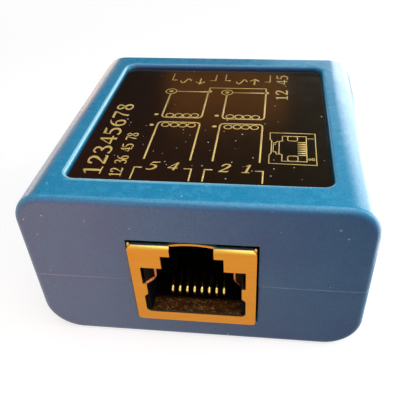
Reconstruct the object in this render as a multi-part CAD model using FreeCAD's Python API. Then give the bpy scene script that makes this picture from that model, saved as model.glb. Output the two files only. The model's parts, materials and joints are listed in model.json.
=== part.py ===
import FreeCAD, Part
import math
import os

from FreeCAD import Placement, Rotation, Vector

# A passive adapter in a two-part moulded case: a shielded eight-way jack in the front,
# two coaxial bayonet sockets in the back and a pulse transformer for each direction.
# Sizes are millimetres. X runs to the right seen from the jack, Y from the jack to the
# coaxial sockets and Z up. The origin is the middle of the case's underside.

# Case
case_width = 44.0
case_length = 43.0
case_height = 23.8
top_corner_radius = 4.0
bottom_corner_radius = 5.0
end_edge_radius = 1.0
wall = 1.8
ceiling_thickness = 1.4
seam_gap = 0.15
lip_height = 1.0
lip_thickness = 0.8
lip_clearance = 0.1

# Recess in the top and the plate glued into it
recess_side_margin = 5.4
recess_front_margin = 4.6
recess_back_margin = 3.9
recess_corner_radius = 1.5
recess_rim_chamfer = 0.4
plate_sink = 1.0
plate_thickness = 0.5
plate_clearance = 0.15

# Circuit board
board_thickness = 1.2
board_stand_off = 1.05
board_edge_clearance = 0.4
board_ledge = 2.5
hole_clearance = 0.15
pin_reach = 0.6

# Snap hooks of the top shell, and the ribs that hold the board down
inside_gap = 0.1
hook_length = 5.0
hook_spacing = 26.0
hook_thickness = 1.2
hook_drop = 3.6
hook_catch = 0.45
hook_catch_height = 1.2
hook_root = 3.0
rib_thickness = 1.2
rib_reach = 2.0
rib_spacing = 35.0

# Jack shield, folded from one sheet
jack_centre = -0.2
jack_proud = 0.6
shield_width = 16.0
shield_height = 13.35
shield_depth = 21.0
sheet = 0.3
fold_radius = 0.6
aperture_clearance = 0.25
aperture_headroom = 0.5
flap_corner = 0.5
leg_width = 1.6
leg_setback = 9.0

# Opening in the shield's face, heights above the board
opening_width = 13.36
sill_height = 1.6
sill_corner = 0.4
tab_height = 5.05
tab_chamfer = 0.5
window_sill = 6.85
window_head = 9.82
step_width = 7.88
step_head = 11.9
notch_width = 5.5
bridge_rise = 0.35
bridge_length = 3.4

# Spring fingers of the shield
finger_root = 7.0
finger_foot = 0.4
finger_crown = 1.4
finger_crown_inset = 2.6
finger_tip = 0.2
finger_tip_inset = 1.65
finger_margin = 0.2
finger_root_bend = 0.5
finger_crown_bend = 0.5

# Moulded insert of the jack
insert_clearance = 0.05
cavity_width = 12.1
cavity_depth = 13.0
latch_roof = 12.65
sill_depth = 2.6
trough_floor = 0.9
comb_depth = 1.5

# Contact springs of the jack
contact_count = 8
contact_pitch = 1.016
contact_width = 0.46
contact_thickness = 0.35
contact_leg_height = 1.5
contact_bend_radius = 0.95
contact_bend_facets = 4
contact_bend_setback = 2.85
contact_rise = 20.0
contact_reach = 9.4
contact_slot_clearance = 0.1
contact_tip_room = 0.7
tail_setback = 16.0
tail_stagger = 2.54

# Coaxial sockets
socket_spacing = 20.0
socket_block_width = 12.8
socket_block_depth = 14.0
socket_axis_rise = 6.95
socket_edge = 0.5
neck_radius = 6.35
neck_clearance = 0.15
nut_thickness = 2.4
nut_wall = 0.8
thread_clearance = 0.05
neck_spare = 0.7
barrel_length = 10.4
barrel_land = 4.2
barrel_radius = 4.83
barrel_root_radius = 4.6
barrel_bore = 4.1
lug_radius = 1.0
lug_setback = 5.3
lug_span = 11.0
insulator_radius = 2.4
insulator_clearance = 0.05
insulator_setback = 3.2
contact_pin_radius = 1.05
contact_pin_bore = 0.68
contact_pin_setback = 0.25
contact_pin_depth = 4.0
rod_side = 0.8
rod_room = 1.0
socket_cavity_wall = 2.0
ground_leg_side = 1.0
ground_leg_spacing = 10.0
ground_leg_setback = 6.0

# Pulse transformers: two ferrite halves through a bobbin with two coils side by side
core_width = 8.4
core_length = 8.4
core_height = 4.0
core_leg = 1.3
core_back = 1.4
core_middle = 2.2
bobbin_wall = 0.35
bobbin_clearance = 0.05
bobbin_rail_width = 9.0
bobbin_rail_length = 2.4
coil_corner = 0.6
coil_gap = 0.15
coil_clearance = 0.05
coil_room = 0.3
pin_side = 0.6
pin_spacing = 6.0
pin_grip = 1.5
transformer_setback = 6.0

# Places worked out from the sizes above
half_width = case_width / 2
half_length = case_length / 2
inner_half_width = half_width - wall
inner_half_length = half_length - wall
recess_floor = case_height - plate_sink - plate_thickness
ceiling = recess_floor - ceiling_thickness
board_bottom = wall + board_stand_off
board_top = board_bottom + board_thickness
pin_foot = board_bottom - pin_reach
socket_axis = board_top + socket_axis_rise
parting = socket_axis
jack_front = -half_length - jack_proud
jack_half = shield_width / 2
notch_reach = notch_width / 2 + sheet
notch_back = jack_front + fold_radius + bridge_length
socket_x = socket_spacing / 2
socket_back = inner_half_length - socket_block_depth
socket_tip = half_length + nut_thickness + neck_spare + barrel_length
socket_neck_end = socket_tip - barrel_length
socket_rod_y = socket_back + socket_cavity_wall + rod_room + rod_side / 2
insulator_rear = socket_rod_y + rod_side / 2 + rod_room
insulator_front = socket_tip - insulator_setback
hook_root_low = parting + lip_height + lip_clearance
board_half_length = inner_half_length - board_edge_clearance

# Two places closer than this count as one
touch = 1e-6


def inner_reach(height):
    """Half the room between the side walls at a height, in the round of the lower corners."""
    inner_radius = bottom_corner_radius - wall
    drop = bottom_corner_radius - height
    if drop <= 0:
        return inner_half_width
    return half_width - bottom_corner_radius + math.sqrt(inner_radius ** 2 - drop ** 2)


board_half_width = inner_reach(board_bottom) - board_edge_clearance
transformer_x = (board_half_width + jack_half) / 2
transformer_y = socket_back - transformer_setback - core_length / 2
coil_depth = (core_width - core_middle) / 2 - core_leg - bobbin_clearance - bobbin_wall - 2 * coil_clearance
tube_grow = bobbin_clearance + bobbin_wall
coil_half_height = core_height / 2 + tube_grow + coil_clearance + coil_depth
core_bottom = board_top + coil_room + coil_half_height - core_height / 2
core_axis = core_bottom + core_height / 2
bobbin_half_length = core_length / 2 - core_back - bobbin_clearance
rail_start = bobbin_half_length - bobbin_wall


def box(x_low, x_high, y_low, y_high, z_low, z_high):
    corner = Vector(x_low, y_low, z_low)
    return Part.makeBox(x_high - x_low, y_high - y_low, z_high - z_low, corner)


def rod_along_y(radius, x, z, y_low, y_high):
    return Part.makeCylinder(radius, y_high - y_low, Vector(x, y_low, z), Vector(0, 1, 0))


def rod_along_z(radius, x, y, z_low, z_high):
    return Part.makeCylinder(radius, z_high - z_low, Vector(x, y, z_low))


def rounded_corner(before, corner, after, radius):
    """Start, middle and end of the arc that rounds a corner; a sharp corner stays a point."""
    if radius <= 0:
        return [corner]
    back = (before - corner).normalize()
    ahead = (after - corner).normalize()
    half_angle = back.getAngle(ahead) / 2
    reach = radius / math.tan(half_angle)
    inward = (back + ahead).normalize()
    middle = corner + inward * (radius / math.sin(half_angle) - radius)
    return [corner + back * reach, middle, corner + ahead * reach]


def path_edges(stops):
    """Lines between stops, and an arc through each stop that has three points."""
    edges = []
    last = None
    for stop in stops:
        if last is not None and last.distanceToPoint(stop[0]) > touch:
            edges.append(Part.LineSegment(last, stop[0]).toShape())
        if len(stop) == 3:
            edges.append(Part.Arc(*stop).toShape())
        last = stop[-1]
    return edges


def outline(points, radii):
    """A closed flat face from corner points and the radius of each corner."""
    corners = [Vector(u, v, 0) for u, v in points]
    count = len(corners)
    stops = []
    for index in range(count):
        before = corners[index - 1]
        after = corners[(index + 1) % count]
        stops.append(rounded_corner(before, corners[index], after, radii[index]))
    edges = path_edges(stops + [[stops[0][0]]])
    return Part.Face(Part.Wire(edges))


def strip(points, radii, thickness):
    """A flat face that follows a bent centre line at an even thickness, like a bent sheet's edge."""
    line = [Vector(u, v, 0) for u, v in points]
    last = len(line) - 1
    left = []
    right = []
    for index, corner in enumerate(line):
        if index in (0, last):
            stop = [corner]
            ends = (line[0], line[1]) if index == 0 else (line[-2], line[-1])
            ways = [ends[1] - ends[0]]
        else:
            stop = rounded_corner(line[index - 1], corner, line[index + 1], radii[index - 1])
            ways = [corner - line[index - 1], stop[2] - stop[0], line[index + 1] - corner]
        sides = [Vector(-way.y, way.x, 0).normalize() * (thickness / 2) for way in ways]
        left.append([point + side for point, side in zip(stop, sides)])
        right.append([point - side for point, side in zip(stop, sides)])
    back = [stop[::-1] for stop in right[::-1]]
    edges = path_edges(left + back + [[left[0][0]]])
    return Part.Face(Part.Wire(edges))


def extrude_along_y(face, y_low, length):
    """A face drawn in X and Z, given its length along Y."""
    solid = face.extrude(Vector(0, 0, length))
    solid.Placement = Placement(Vector(0, y_low + length, 0), Rotation(Vector(1, 0, 0), 90))
    return solid


def extrude_along_x(face, x_low, length):
    """A face drawn in Y and Z, given its length along X."""
    solid = face.extrude(Vector(0, 0, length))
    solid.Placement = Placement(Vector(x_low, 0, 0), Rotation(Vector(1, 1, 1), 120))
    return solid


def extrude_along_z(face, z_low, length):
    """A face drawn in X and Y, given its length along Z."""
    solid = face.extrude(Vector(0, 0, length))
    solid.translate(Vector(0, 0, z_low))
    return solid


def rectangle(x_low, x_high, y_low, y_high, radius):
    points = [(x_low, y_low), (x_high, y_low), (x_high, y_high), (x_low, y_high)]
    return outline(points, [radius] * 4)


def moved(shape, x, y=0.0, z=0.0):
    copy = shape.copy()
    copy.translate(Vector(x, y, z))
    return copy


def at_corners(shape):
    """The shape at one corner and its three mirror images."""
    right = [shape, shape.mirror(Vector(0, 0, 0), Vector(0, 1, 0))]
    left = [piece.mirror(Vector(0, 0, 0), Vector(1, 0, 0)) for piece in right]
    return right + left


def single(shape):
    """The one solid of a finished cut or fuse, with split faces joined again."""
    return shape.removeSplitter().Solids[0]


# Case

def case_section(inset, roof, bottom_radius, top_radius):
    """Outline across the case, set in from its sides and underside."""
    side = half_width - inset
    points = [(-side, inset), (side, inset), (side, roof), (-side, roof)]
    return outline(points, [bottom_radius, bottom_radius, top_radius, top_radius])


def case_block():
    """The whole case as a solid: a rounded bar with softened ends and the recess in its top."""
    section = case_section(0, case_height, bottom_corner_radius, top_corner_radius)
    block = extrude_along_y(section, -half_length, case_length)
    end_edges = [edge for edge in block.Edges if edge.BoundBox.YLength < touch]
    block = block.makeFillet(end_edge_radius, end_edges)
    recess_x = half_width - recess_side_margin
    recess_front = -half_length + recess_front_margin
    recess_back = half_length - recess_back_margin
    pocket = rectangle(-recess_x, recess_x, recess_front, recess_back, recess_corner_radius)
    block = block.cut(extrude_along_z(pocket, recess_floor, case_height - recess_floor + wall))
    rim = [edge for edge in block.Edges
           if edge.BoundBox.ZMin > case_height - touch
           and edge.BoundBox.XMax < recess_x + touch and edge.BoundBox.XMin > -recess_x - touch
           and edge.BoundBox.YMin > recess_front - touch and edge.BoundBox.YMax < recess_back + touch]
    return block.makeChamfer(recess_rim_chamfer, rim)


def case_room():
    """The hollow inside the case."""
    section = case_section(wall, ceiling, bottom_corner_radius - wall, top_corner_radius - wall)
    return extrude_along_y(section, -inner_half_length, 2 * inner_half_length)


def case_core():
    """The case without the outer half of its walls, which keeps inner parts off the outside."""
    inset = wall / 2
    section = case_section(inset, case_height - inset,
                           bottom_corner_radius - inset, top_corner_radius - inset)
    return extrude_along_y(section, -half_length + inset, case_length - wall)


def apertures():
    """What the jack and the two socket necks need cut from the end walls."""
    reach = jack_half + aperture_clearance
    cuts = [box(jack_centre - reach, jack_centre + reach, jack_front, -inner_half_length,
                board_top - aperture_clearance / 2, board_top + shield_height + aperture_headroom)]
    for x in (-socket_x, socket_x):
        cuts.append(rod_along_y(neck_radius + neck_clearance, x, socket_axis,
                                inner_half_length, half_length + wall))
    return cuts


def seam_ring(inset, growth, z_low, z_high):
    """A frame on the inner edge of the walls, between two heights."""
    x = inner_half_width
    y = inner_half_length
    outer = box(-x - growth, x + growth, -y - growth, y + growth, z_low, z_high)
    inner = box(-x + inset, x - inset, -y + inset, y - inset, z_low, z_high)
    return outer.cut(inner)


def board_pad():
    """Pad under one corner of the board, grown from the floor and the walls."""
    pad = box(board_half_width - board_ledge, half_width, board_half_length - board_ledge, half_length,
              0, board_bottom)
    return pad.common(case_core())


def hook_pocket():
    """The room in the lower side wall that a hook's catch springs into."""
    low = parting - hook_drop
    middle = hook_spacing / 2
    reach = hook_length / 2 + inside_gap
    return box(inner_half_width - inside_gap, inner_half_width + hook_catch, middle - reach, middle + reach,
               low - inside_gap, low + hook_catch_height + inside_gap)


def bottom_shell():
    rim = parting - seam_gap / 2
    above = box(-case_width, case_width, -case_length, case_length, rim, 2 * case_height)
    shell = case_block().cut(above).cut(case_room())
    lip = seam_ring(0, lip_thickness, rim - lip_height, parting + lip_height)
    shell = shell.fuse([lip] + at_corners(board_pad()))
    return single(shell.cut(at_corners(hook_pocket()) + apertures()))


def snap_hook():
    """A springy tongue that hangs from the upper side wall and ends in a sloping catch."""
    outer = inner_half_width - inside_gap
    inner = outer - hook_thickness
    root = inner_half_width + wall / 2
    low = parting - hook_drop
    catch_top = low + hook_catch_height
    points = [(inner, low),
              (outer, low),
              (outer + hook_catch, catch_top - hook_catch),
              (outer + hook_catch, catch_top),
              (outer, catch_top),
              (outer, hook_root_low),
              (root, hook_root_low),
              (root, hook_root_low + hook_root),
              (inner, hook_root_low + hook_root)]
    face = outline(points, [0] * len(points))
    return extrude_along_y(face, (hook_spacing - hook_length) / 2, hook_length)


def board_rib():
    """A rib that hangs from the ceiling in one corner and holds the board on its pad."""
    outer = inner_half_length - inside_gap
    inner = inner_half_length - rib_reach
    root = inner_half_length + wall / 2
    foot = board_top + inside_gap
    top = ceiling + ceiling_thickness / 2
    points = [(inner, foot),
              (outer, foot),
              (outer, hook_root_low),
              (root, hook_root_low),
              (root, top),
              (inner, top)]
    face = outline(points, [0] * len(points))
    return extrude_along_x(face, (rib_spacing - rib_thickness) / 2, rib_thickness)


def top_shell():
    rim = parting + seam_gap / 2
    below = box(-case_width, case_width, -case_length, case_length, -case_height, rim)
    shell = case_block().cut(below).cut(case_room())
    shell = shell.cut(seam_ring(lip_clearance, lip_thickness + lip_clearance, rim, parting + lip_height))
    shell = shell.fuse(at_corners(snap_hook()) + at_corners(board_rib()))
    return single(shell.cut(apertures()))


def top_plate():
    x = half_width - recess_side_margin - plate_clearance
    front = -half_length + recess_front_margin + plate_clearance
    back = half_length - recess_back_margin - plate_clearance
    face = rectangle(-x, x, front, back, recess_corner_radius - plate_clearance)
    return extrude_along_z(face, recess_floor, plate_thickness)


# Circuit board

def contact_places():
    """X, and the tail's distance behind the jack's face, of each contact spring."""
    places = []
    for index in range(contact_count):
        x = jack_centre + (index - (contact_count - 1) / 2) * contact_pitch
        places.append((x, tail_setback + (index % 2) * tail_stagger))
    return places


def transformer_pins():
    """Offsets of a transformer's four pins from its middle."""
    reach_x = pin_spacing / 2
    reach_y = rail_start + bobbin_rail_length / 2
    return [(x, y) for x in (-reach_x, reach_x) for y in (-reach_y, reach_y)]


def board_hole(x, y, width, length):
    """A hole in the board with clearance round a pin of the given width and length."""
    reach_x = width / 2 + hole_clearance
    reach_y = length / 2 + hole_clearance
    return box(x - reach_x, x + reach_x, y - reach_y, y + reach_y, board_bottom, board_top)


def circuit_board():
    board = box(-board_half_width, board_half_width, -board_half_length, board_half_length,
                board_bottom, board_top)
    holes = []
    for x, setback in contact_places():
        holes.append(board_hole(x, jack_front + setback, contact_width, contact_thickness))
    for side in (-1, 1):
        leg_x = jack_centre + side * (jack_half - sheet / 2)
        holes.append(board_hole(leg_x, jack_front + leg_setback, sheet, leg_width))
        for x, y in transformer_pins():
            holes.append(board_hole(side * transformer_x + x, transformer_y + y, pin_side, pin_side))
        holes.append(board_hole(side * socket_x, socket_rod_y, rod_side, rod_side))
        for reach in (-ground_leg_spacing / 2, ground_leg_spacing / 2):
            holes.append(board_hole(side * socket_x + reach, inner_half_length - ground_leg_setback,
                                    ground_leg_side, ground_leg_side))
    return single(board.cut(holes))


# Jack

def jack_box(half, front, back, height):
    """A box on the board at the jack's place, and the edges where a sheet folded over it bends."""
    block = box(jack_centre - half, jack_centre + half, front, back, board_top, board_top + height)
    edges = []
    for edge in block.Edges:
        bounds = edge.BoundBox
        if bounds.ZMin > board_top + touch and (bounds.YMax < front + touch or bounds.YLength > touch):
            edges.append(edge)
    return block, edges


def mirrored_outline(points):
    """Right-hand points of an opening, from its sill up, closed by their mirror image."""
    left = [(-x, z) for x, z in reversed(points)]
    return [(jack_centre + x, board_top + z) for x, z in points + left]


def shield_opening():
    side = opening_width / 2
    tab = side - tab_chamfer
    points = [(side - sill_corner, sill_height),
              (side, sill_height + sill_corner),
              (side, tab_height - tab_chamfer),
              (tab, tab_height),
              (tab, window_sill),
              (side, window_sill),
              (side, window_head),
              (step_width / 2, window_head),
              (step_width / 2, step_head),
              (notch_width / 2, step_head),
              (notch_width / 2, shield_height + fold_radius)]
    corners = mirrored_outline(points)
    return extrude_along_y(outline(corners, [0] * len(corners)), jack_front - sheet, fold_radius + sheet)


def shield_bridge():
    """The shallow arch that the top sheet forms over the latch notch."""
    top = board_top + shield_height
    left = Vector(jack_centre - notch_reach, top, 0)
    crown = Vector(jack_centre, top + bridge_rise, 0)
    right = Vector(jack_centre + notch_reach, top, 0)
    down = Vector(0, -sheet, 0)
    edges = [Part.Arc(left, crown, right).toShape(),
             Part.LineSegment(right, right + down).toShape(),
             Part.Arc(right + down, crown + down, left + down).toShape(),
             Part.LineSegment(left + down, left).toShape()]
    return extrude_along_y(Part.Face(Part.Wire(edges)), jack_front + fold_radius, bridge_length + sheet / 2)


def shield_finger():
    """Right-hand spring finger, cut from the side wall and bent inwards towards the front."""
    wall_line = jack_half - sheet / 2
    points = [(wall_line, finger_root + finger_foot),
              (wall_line, finger_root - sheet / 2),
              (jack_half - finger_crown_inset, finger_crown),
              (jack_half - finger_tip_inset, finger_tip)]
    line = [(jack_centre + x, jack_front + y) for x, y in points]
    face = strip(line, [finger_root_bend, finger_crown_bend], sheet)
    base = board_top + window_sill + finger_margin
    return extrude_along_z(face, base, window_head - window_sill - 2 * finger_margin)


def shield_corner():
    """What the rounding of the front flap's lower right-hand corner takes away."""
    x = jack_centre + jack_half
    front = jack_front - sheet
    back = jack_front + fold_radius
    corner = box(x - flap_corner, x + sheet, front, back, board_top - sheet, board_top + flap_corner)
    return corner.cut(rod_along_y(flap_corner, x - flap_corner, board_top + flap_corner, front, back))


def jack_shield():
    outer, outer_edges = jack_box(jack_half, jack_front, jack_front + shield_depth, shield_height)
    inner, inner_edges = jack_box(jack_half - sheet, jack_front + sheet, jack_front + shield_depth - sheet,
                                  shield_height - sheet)
    shell = outer.makeFillet(fold_radius, outer_edges)
    shell = shell.cut(inner.makeChamfer(fold_radius - sheet, inner_edges))
    shell = shell.cut(shield_opening())
    notch = box(jack_centre - notch_width / 2, jack_centre + notch_width / 2, jack_front, notch_back,
                board_top + step_head, board_top + shield_height + sheet)
    side_window = box(jack_centre, jack_centre + jack_half, jack_front + fold_radius + sheet,
                      jack_front + finger_root - sheet,
                      board_top + window_sill, board_top + window_head)
    leg_y = jack_front + leg_setback
    leg = box(jack_centre + jack_half - sheet, jack_centre + jack_half, leg_y - leg_width / 2,
              leg_y + leg_width / 2, pin_foot, board_top + sheet)
    middle = Vector(jack_centre, 0, 0)
    mirror_plane = Vector(1, 0, 0)
    cuts = [side_window, shield_corner()]
    cuts += [piece.mirror(middle, mirror_plane) for piece in cuts]
    right = [shield_finger(), leg]
    left = [piece.mirror(middle, mirror_plane) for piece in right]
    return single(shell.cut(cuts + [notch]).fuse(right + left + [shield_bridge()]))


def insert_cavity():
    """The room that the plug enters, open above its latch, and the trough under the contact springs."""
    points = [(cavity_width / 2, sill_height),
              (cavity_width / 2, window_head),
              (step_width / 2, window_head),
              (step_width / 2, step_head),
              (notch_reach, step_head),
              (notch_reach, latch_roof)]
    corners = mirrored_outline(points)
    room = extrude_along_y(outline(corners, [0] * len(corners)), jack_front, cavity_depth)
    latch_way = box(jack_centre - notch_reach, jack_centre + notch_reach, jack_front, notch_back,
                    board_top + step_head, board_top + shield_height)
    trough = box(jack_centre - cavity_width / 2, jack_centre + cavity_width / 2,
                 jack_front + sill_depth, jack_front + cavity_depth,
                 board_top + trough_floor, board_top + sill_height + contact_thickness)
    return [room, latch_way, trough]


def contact_slots():
    """A slot in the back wall for each contact's tip, and one from below for its leg and tail."""
    half_slot = contact_width / 2 + contact_slot_clearance
    cavity_back = jack_front + cavity_depth
    tip_height = board_top + contact_side(0)[-1][1]
    leg_top = board_top + contact_leg_height + contact_thickness
    cuts = []
    for x, setback in contact_places():
        cuts.append(box(x - half_slot, x + half_slot, cavity_back - sheet, cavity_back + comb_depth,
                        tip_height - contact_tip_room, tip_height + contact_tip_room))
        cuts.append(box(x - half_slot, x + half_slot, cavity_back - sheet,
                        jack_front + setback + contact_thickness, board_top, leg_top))
    return cuts


def jack_insert():
    gap = sheet + insert_clearance
    block, edges = jack_box(jack_half - gap, jack_front + sheet, jack_front + shield_depth - gap,
                            shield_height - gap)
    block = block.makeChamfer(fold_radius - sheet, edges)
    cuts = insert_cavity() + contact_slots()
    side_room = cavity_width / 2 - sheet
    for side in (-1, 1):
        x = sorted((jack_centre + side * side_room, jack_centre + side * jack_half))
        cuts.append(box(x[0], x[1], jack_front, jack_front + finger_root + fold_radius,
                        board_top + window_sill, board_top + window_head))
    return single(block.cut(cuts))


def contact_side(offset):
    """Corners of a contact's hairpin and the tip of its blade, at an offset from its centre line."""
    centre_y = contact_bend_setback + contact_bend_radius
    centre_z = contact_leg_height + contact_bend_radius
    radius = contact_bend_radius + offset
    rise = math.radians(contact_rise)
    step = (math.pi - rise) / contact_bend_facets
    points = []
    for index in range(contact_bend_facets):
        way = -math.pi / 2 - (index + 0.5) * step
        reach = radius / math.cos(step / 2)
        points.append((centre_y + reach * math.cos(way), centre_z + reach * math.sin(way)))
    tip_y = centre_y - radius * math.sin(rise) + contact_reach * math.cos(rise)
    tip_z = centre_z + radius * math.cos(rise) + contact_reach * math.sin(rise)
    return points + [(tip_y, tip_z)]


def jack_contact(x, setback):
    """One spring: a tail through the board, a leg to the front, a hairpin and the sloping blade."""
    half_blade = contact_width / 2
    half_sheet = contact_thickness / 2
    heel = setback + half_sheet
    outer = [(heel, contact_leg_height - half_sheet)] + contact_side(half_sheet)
    inner = [(heel, contact_leg_height + half_sheet)] + contact_side(-half_sheet)
    corners = [(jack_front + y, board_top + z) for y, z in outer + inner[::-1]]
    blade = extrude_along_x(outline(corners, [0] * len(corners)), x - half_blade, contact_width)
    tail = box(x - half_blade, x + half_blade,
               jack_front + setback - half_sheet, jack_front + setback + half_sheet,
               pin_foot, board_top + contact_leg_height + half_sheet)
    return single(blade.fuse(tail))


# Coaxial sockets, each drawn on its own axis at X = 0 and moved to its place

def socket_block():
    """The part of the casting that stands on the board, with its free edges taken off."""
    half = socket_block_width / 2
    block = box(-half, half, socket_back, inner_half_length, board_top, socket_axis + half)
    edges = [edge for edge in block.Edges
             if edge.BoundBox.ZMax > board_top + touch and edge.BoundBox.YMin < inner_half_length - touch]
    return block.makeChamfer(socket_edge, edges)


def socket_room():
    """Bore of the barrel, passage of the insulator and the room round the centre contact's rod."""
    half = rod_side / 2 + rod_room
    rear_room = box(-half, half, socket_rod_y - half, socket_rod_y + half, board_top, socket_axis + half)
    passage = rod_along_y(insulator_radius + insulator_clearance, 0, socket_axis,
                          socket_rod_y, socket_neck_end)
    bore = rod_along_y(barrel_bore, 0, socket_axis, socket_neck_end, socket_tip)
    return [rear_room, passage, bore]


def socket_body():
    """Block, neck, barrel relieved behind its rim, and lugs in one casting, with two ground legs."""
    neck = rod_along_y(neck_radius, 0, socket_axis, inner_half_length - socket_edge, socket_neck_end)
    root = rod_along_y(barrel_root_radius, 0, socket_axis, socket_neck_end, socket_tip - barrel_land)
    barrel = rod_along_y(barrel_radius, 0, socket_axis, socket_tip - barrel_land, socket_tip)
    lugs = Part.makeCylinder(lug_radius, lug_span,
                             Vector(-lug_span / 2, socket_tip - lug_setback, socket_axis), Vector(1, 0, 0))
    half_leg = ground_leg_side / 2
    leg_y = inner_half_length - ground_leg_setback
    legs = [box(x - half_leg, x + half_leg, leg_y - half_leg, leg_y + half_leg,
                pin_foot, board_top + socket_edge)
            for x in (-ground_leg_spacing / 2, ground_leg_spacing / 2)]
    body = socket_block().fuse([neck, root, barrel, lugs] + legs)
    return single(body.cut(socket_room()))


def socket_insulator():
    tube = rod_along_y(insulator_radius, 0, socket_axis, insulator_rear, insulator_front)
    hole = rod_along_y(contact_pin_radius + insulator_clearance, 0, socket_axis,
                       insulator_rear, insulator_front)
    return tube.cut(hole)


def socket_contact():
    """Hollow socket pin in front, and a square rod that turns down through the board behind."""
    tip = insulator_front - contact_pin_setback
    shoulder = insulator_rear + rod_room
    pin = rod_along_y(contact_pin_radius, 0, socket_axis, shoulder, tip)
    bore = rod_along_y(contact_pin_bore, 0, socket_axis, tip - contact_pin_depth, tip)
    half = rod_side / 2
    rear = socket_rod_y - half
    rod = box(-half, half, rear, shoulder + half, socket_axis - half, socket_axis + half)
    tail = box(-half, half, rear, rear + rod_side, pin_foot, socket_axis + half)
    return single(pin.cut(bore).fuse([rod, tail]))


def socket_nut():
    corner_radius = (neck_radius + nut_wall) / math.cos(math.pi / 6)
    corners = []
    for side in range(6):
        way = math.radians(30 + 60 * side)
        corners.append((corner_radius * math.cos(way), corner_radius * math.sin(way)))
    hexagon = extrude_along_y(outline(corners, [0] * len(corners)), half_length, nut_thickness)
    hexagon = moved(hexagon, 0, 0, socket_axis)
    hole = rod_along_y(neck_radius + thread_clearance, 0, socket_axis,
                       half_length, half_length + nut_thickness)
    return single(hexagon.cut(hole))


# Pulse transformers, each drawn on its own axis at X = 0 and moved to its place

def core_half(side):
    """An E-shaped ferrite half; side is -1 for the one nearer the jack and 1 for the other."""
    reach = core_width / 2
    middle = core_middle / 2
    window_end = core_length / 2 - core_back
    points = [(-reach, 0),
              (-reach + core_leg, 0),
              (-reach + core_leg, window_end),
              (-middle, window_end),
              (-middle, 0),
              (middle, 0),
              (middle, window_end),
              (reach - core_leg, window_end),
              (reach - core_leg, 0),
              (reach, 0),
              (reach, core_length / 2),
              (-reach, core_length / 2)]
    corners = [(x, transformer_y + side * y) for x, y in points]
    return extrude_along_z(outline(corners, [0] * len(corners)), core_bottom, core_height)


def sleeve(grow, y_low, y_high):
    """A block round the core's middle leg, larger than it by a given amount."""
    half = core_middle / 2 + grow
    half_height = core_height / 2 + grow
    return box(-half, half, transformer_y + y_low, transformer_y + y_high,
               core_axis - half_height, core_axis + half_height)


def transformer_bobbin():
    """Tube with a flange at each end, each standing on a rail that carries two pins."""
    reach = bobbin_half_length
    tube = sleeve(tube_grow, -reach, reach)
    half_flange = core_middle / 2 + tube_grow + coil_depth
    half_rail = bobbin_rail_width / 2
    parts = []
    for side in (-1, 1):
        flange_y = sorted((transformer_y + side * rail_start, transformer_y + side * reach))
        parts.append(box(-half_flange, half_flange, flange_y[0], flange_y[1],
                         board_top, core_axis + coil_half_height))
        rail_y = sorted((flange_y[0 if side > 0 else 1],
                         transformer_y + side * (rail_start + bobbin_rail_length)))
        parts.append(box(-half_rail, half_rail, rail_y[0], rail_y[1], board_top, core_bottom))
    half_pin = pin_side / 2
    holes = [box(x - half_pin, x + half_pin, transformer_y + y - half_pin, transformer_y + y + half_pin,
                 board_top, board_top + pin_grip)
             for x, y in transformer_pins()]
    return single(tube.fuse(parts).cut(holes + [sleeve(bobbin_clearance, -reach, reach)]))


def transformer_coil(side):
    """One winding, wound full; side is -1 for the one nearer the jack and 1 for the other."""
    inner = tube_grow + coil_clearance
    ends = sorted((side * coil_gap / 2, side * (rail_start - coil_clearance)))
    half = core_middle / 2 + inner + coil_depth
    coil = box(-half, half, transformer_y + ends[0], transformer_y + ends[1],
               core_axis - coil_half_height, core_axis + coil_half_height)
    edges = [edge for edge in coil.Edges if edge.BoundBox.YLength > touch]
    coil = coil.makeChamfer(coil_corner, edges)
    return single(coil.cut(sleeve(inner, ends[0], ends[1])))


def transformer_pin(x, y):
    half = pin_side / 2
    return box(x - half, x + half, transformer_y + y - half, transformer_y + y + half,
               pin_foot, board_top + pin_grip)


def build():
    """Every piece by the name of its node."""
    pieces = {
        "top_shell": top_shell(),
        "bottom_shell": bottom_shell(),
        "top_plate": top_plate(),
        "circuit_board": circuit_board(),
        "jack_shield": jack_shield(),
        "jack_insert": jack_insert(),
    }
    for index, (x, setback) in enumerate(contact_places()):
        pieces["jack_contact_" + str(index + 1)] = jack_contact(x, setback)
    for name, side in (("receive", -1), ("send", 1)):
        x = side * socket_x
        pieces[name + "_socket_body"] = moved(socket_body(), x)
        pieces[name + "_socket_insulator"] = moved(socket_insulator(), x)
        pieces[name + "_socket_contact"] = moved(socket_contact(), x)
        pieces[name + "_socket_nut"] = moved(socket_nut(), x)
        x = side * transformer_x
        pieces[name + "_bobbin"] = moved(transformer_bobbin(), x)
        pieces[name + "_core_front"] = moved(core_half(-1), x)
        pieces[name + "_core_back"] = moved(core_half(1), x)
        pieces[name + "_line_winding"] = moved(transformer_coil(-1), x)
        pieces[name + "_coax_winding"] = moved(transformer_coil(1), x)
        for index, place in enumerate(transformer_pins()):
            pieces[name + "_pin_" + str(index + 1)] = moved(transformer_pin(*place), x)
    return pieces


def main():
    os.makedirs("parts", exist_ok=True)
    for name, shape in build().items():
        shape.exportStep(os.path.join("parts", name + ".step"))
        print(name, len(shape.Solids), "valid" if shape.isValid() else "NOT VALID", round(shape.Volume, 2))


main()
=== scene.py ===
import json
import math
from functools import partial, reduce

import bmesh
import bpy
import numpy as np
from mathutils import Matrix, Vector


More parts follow.
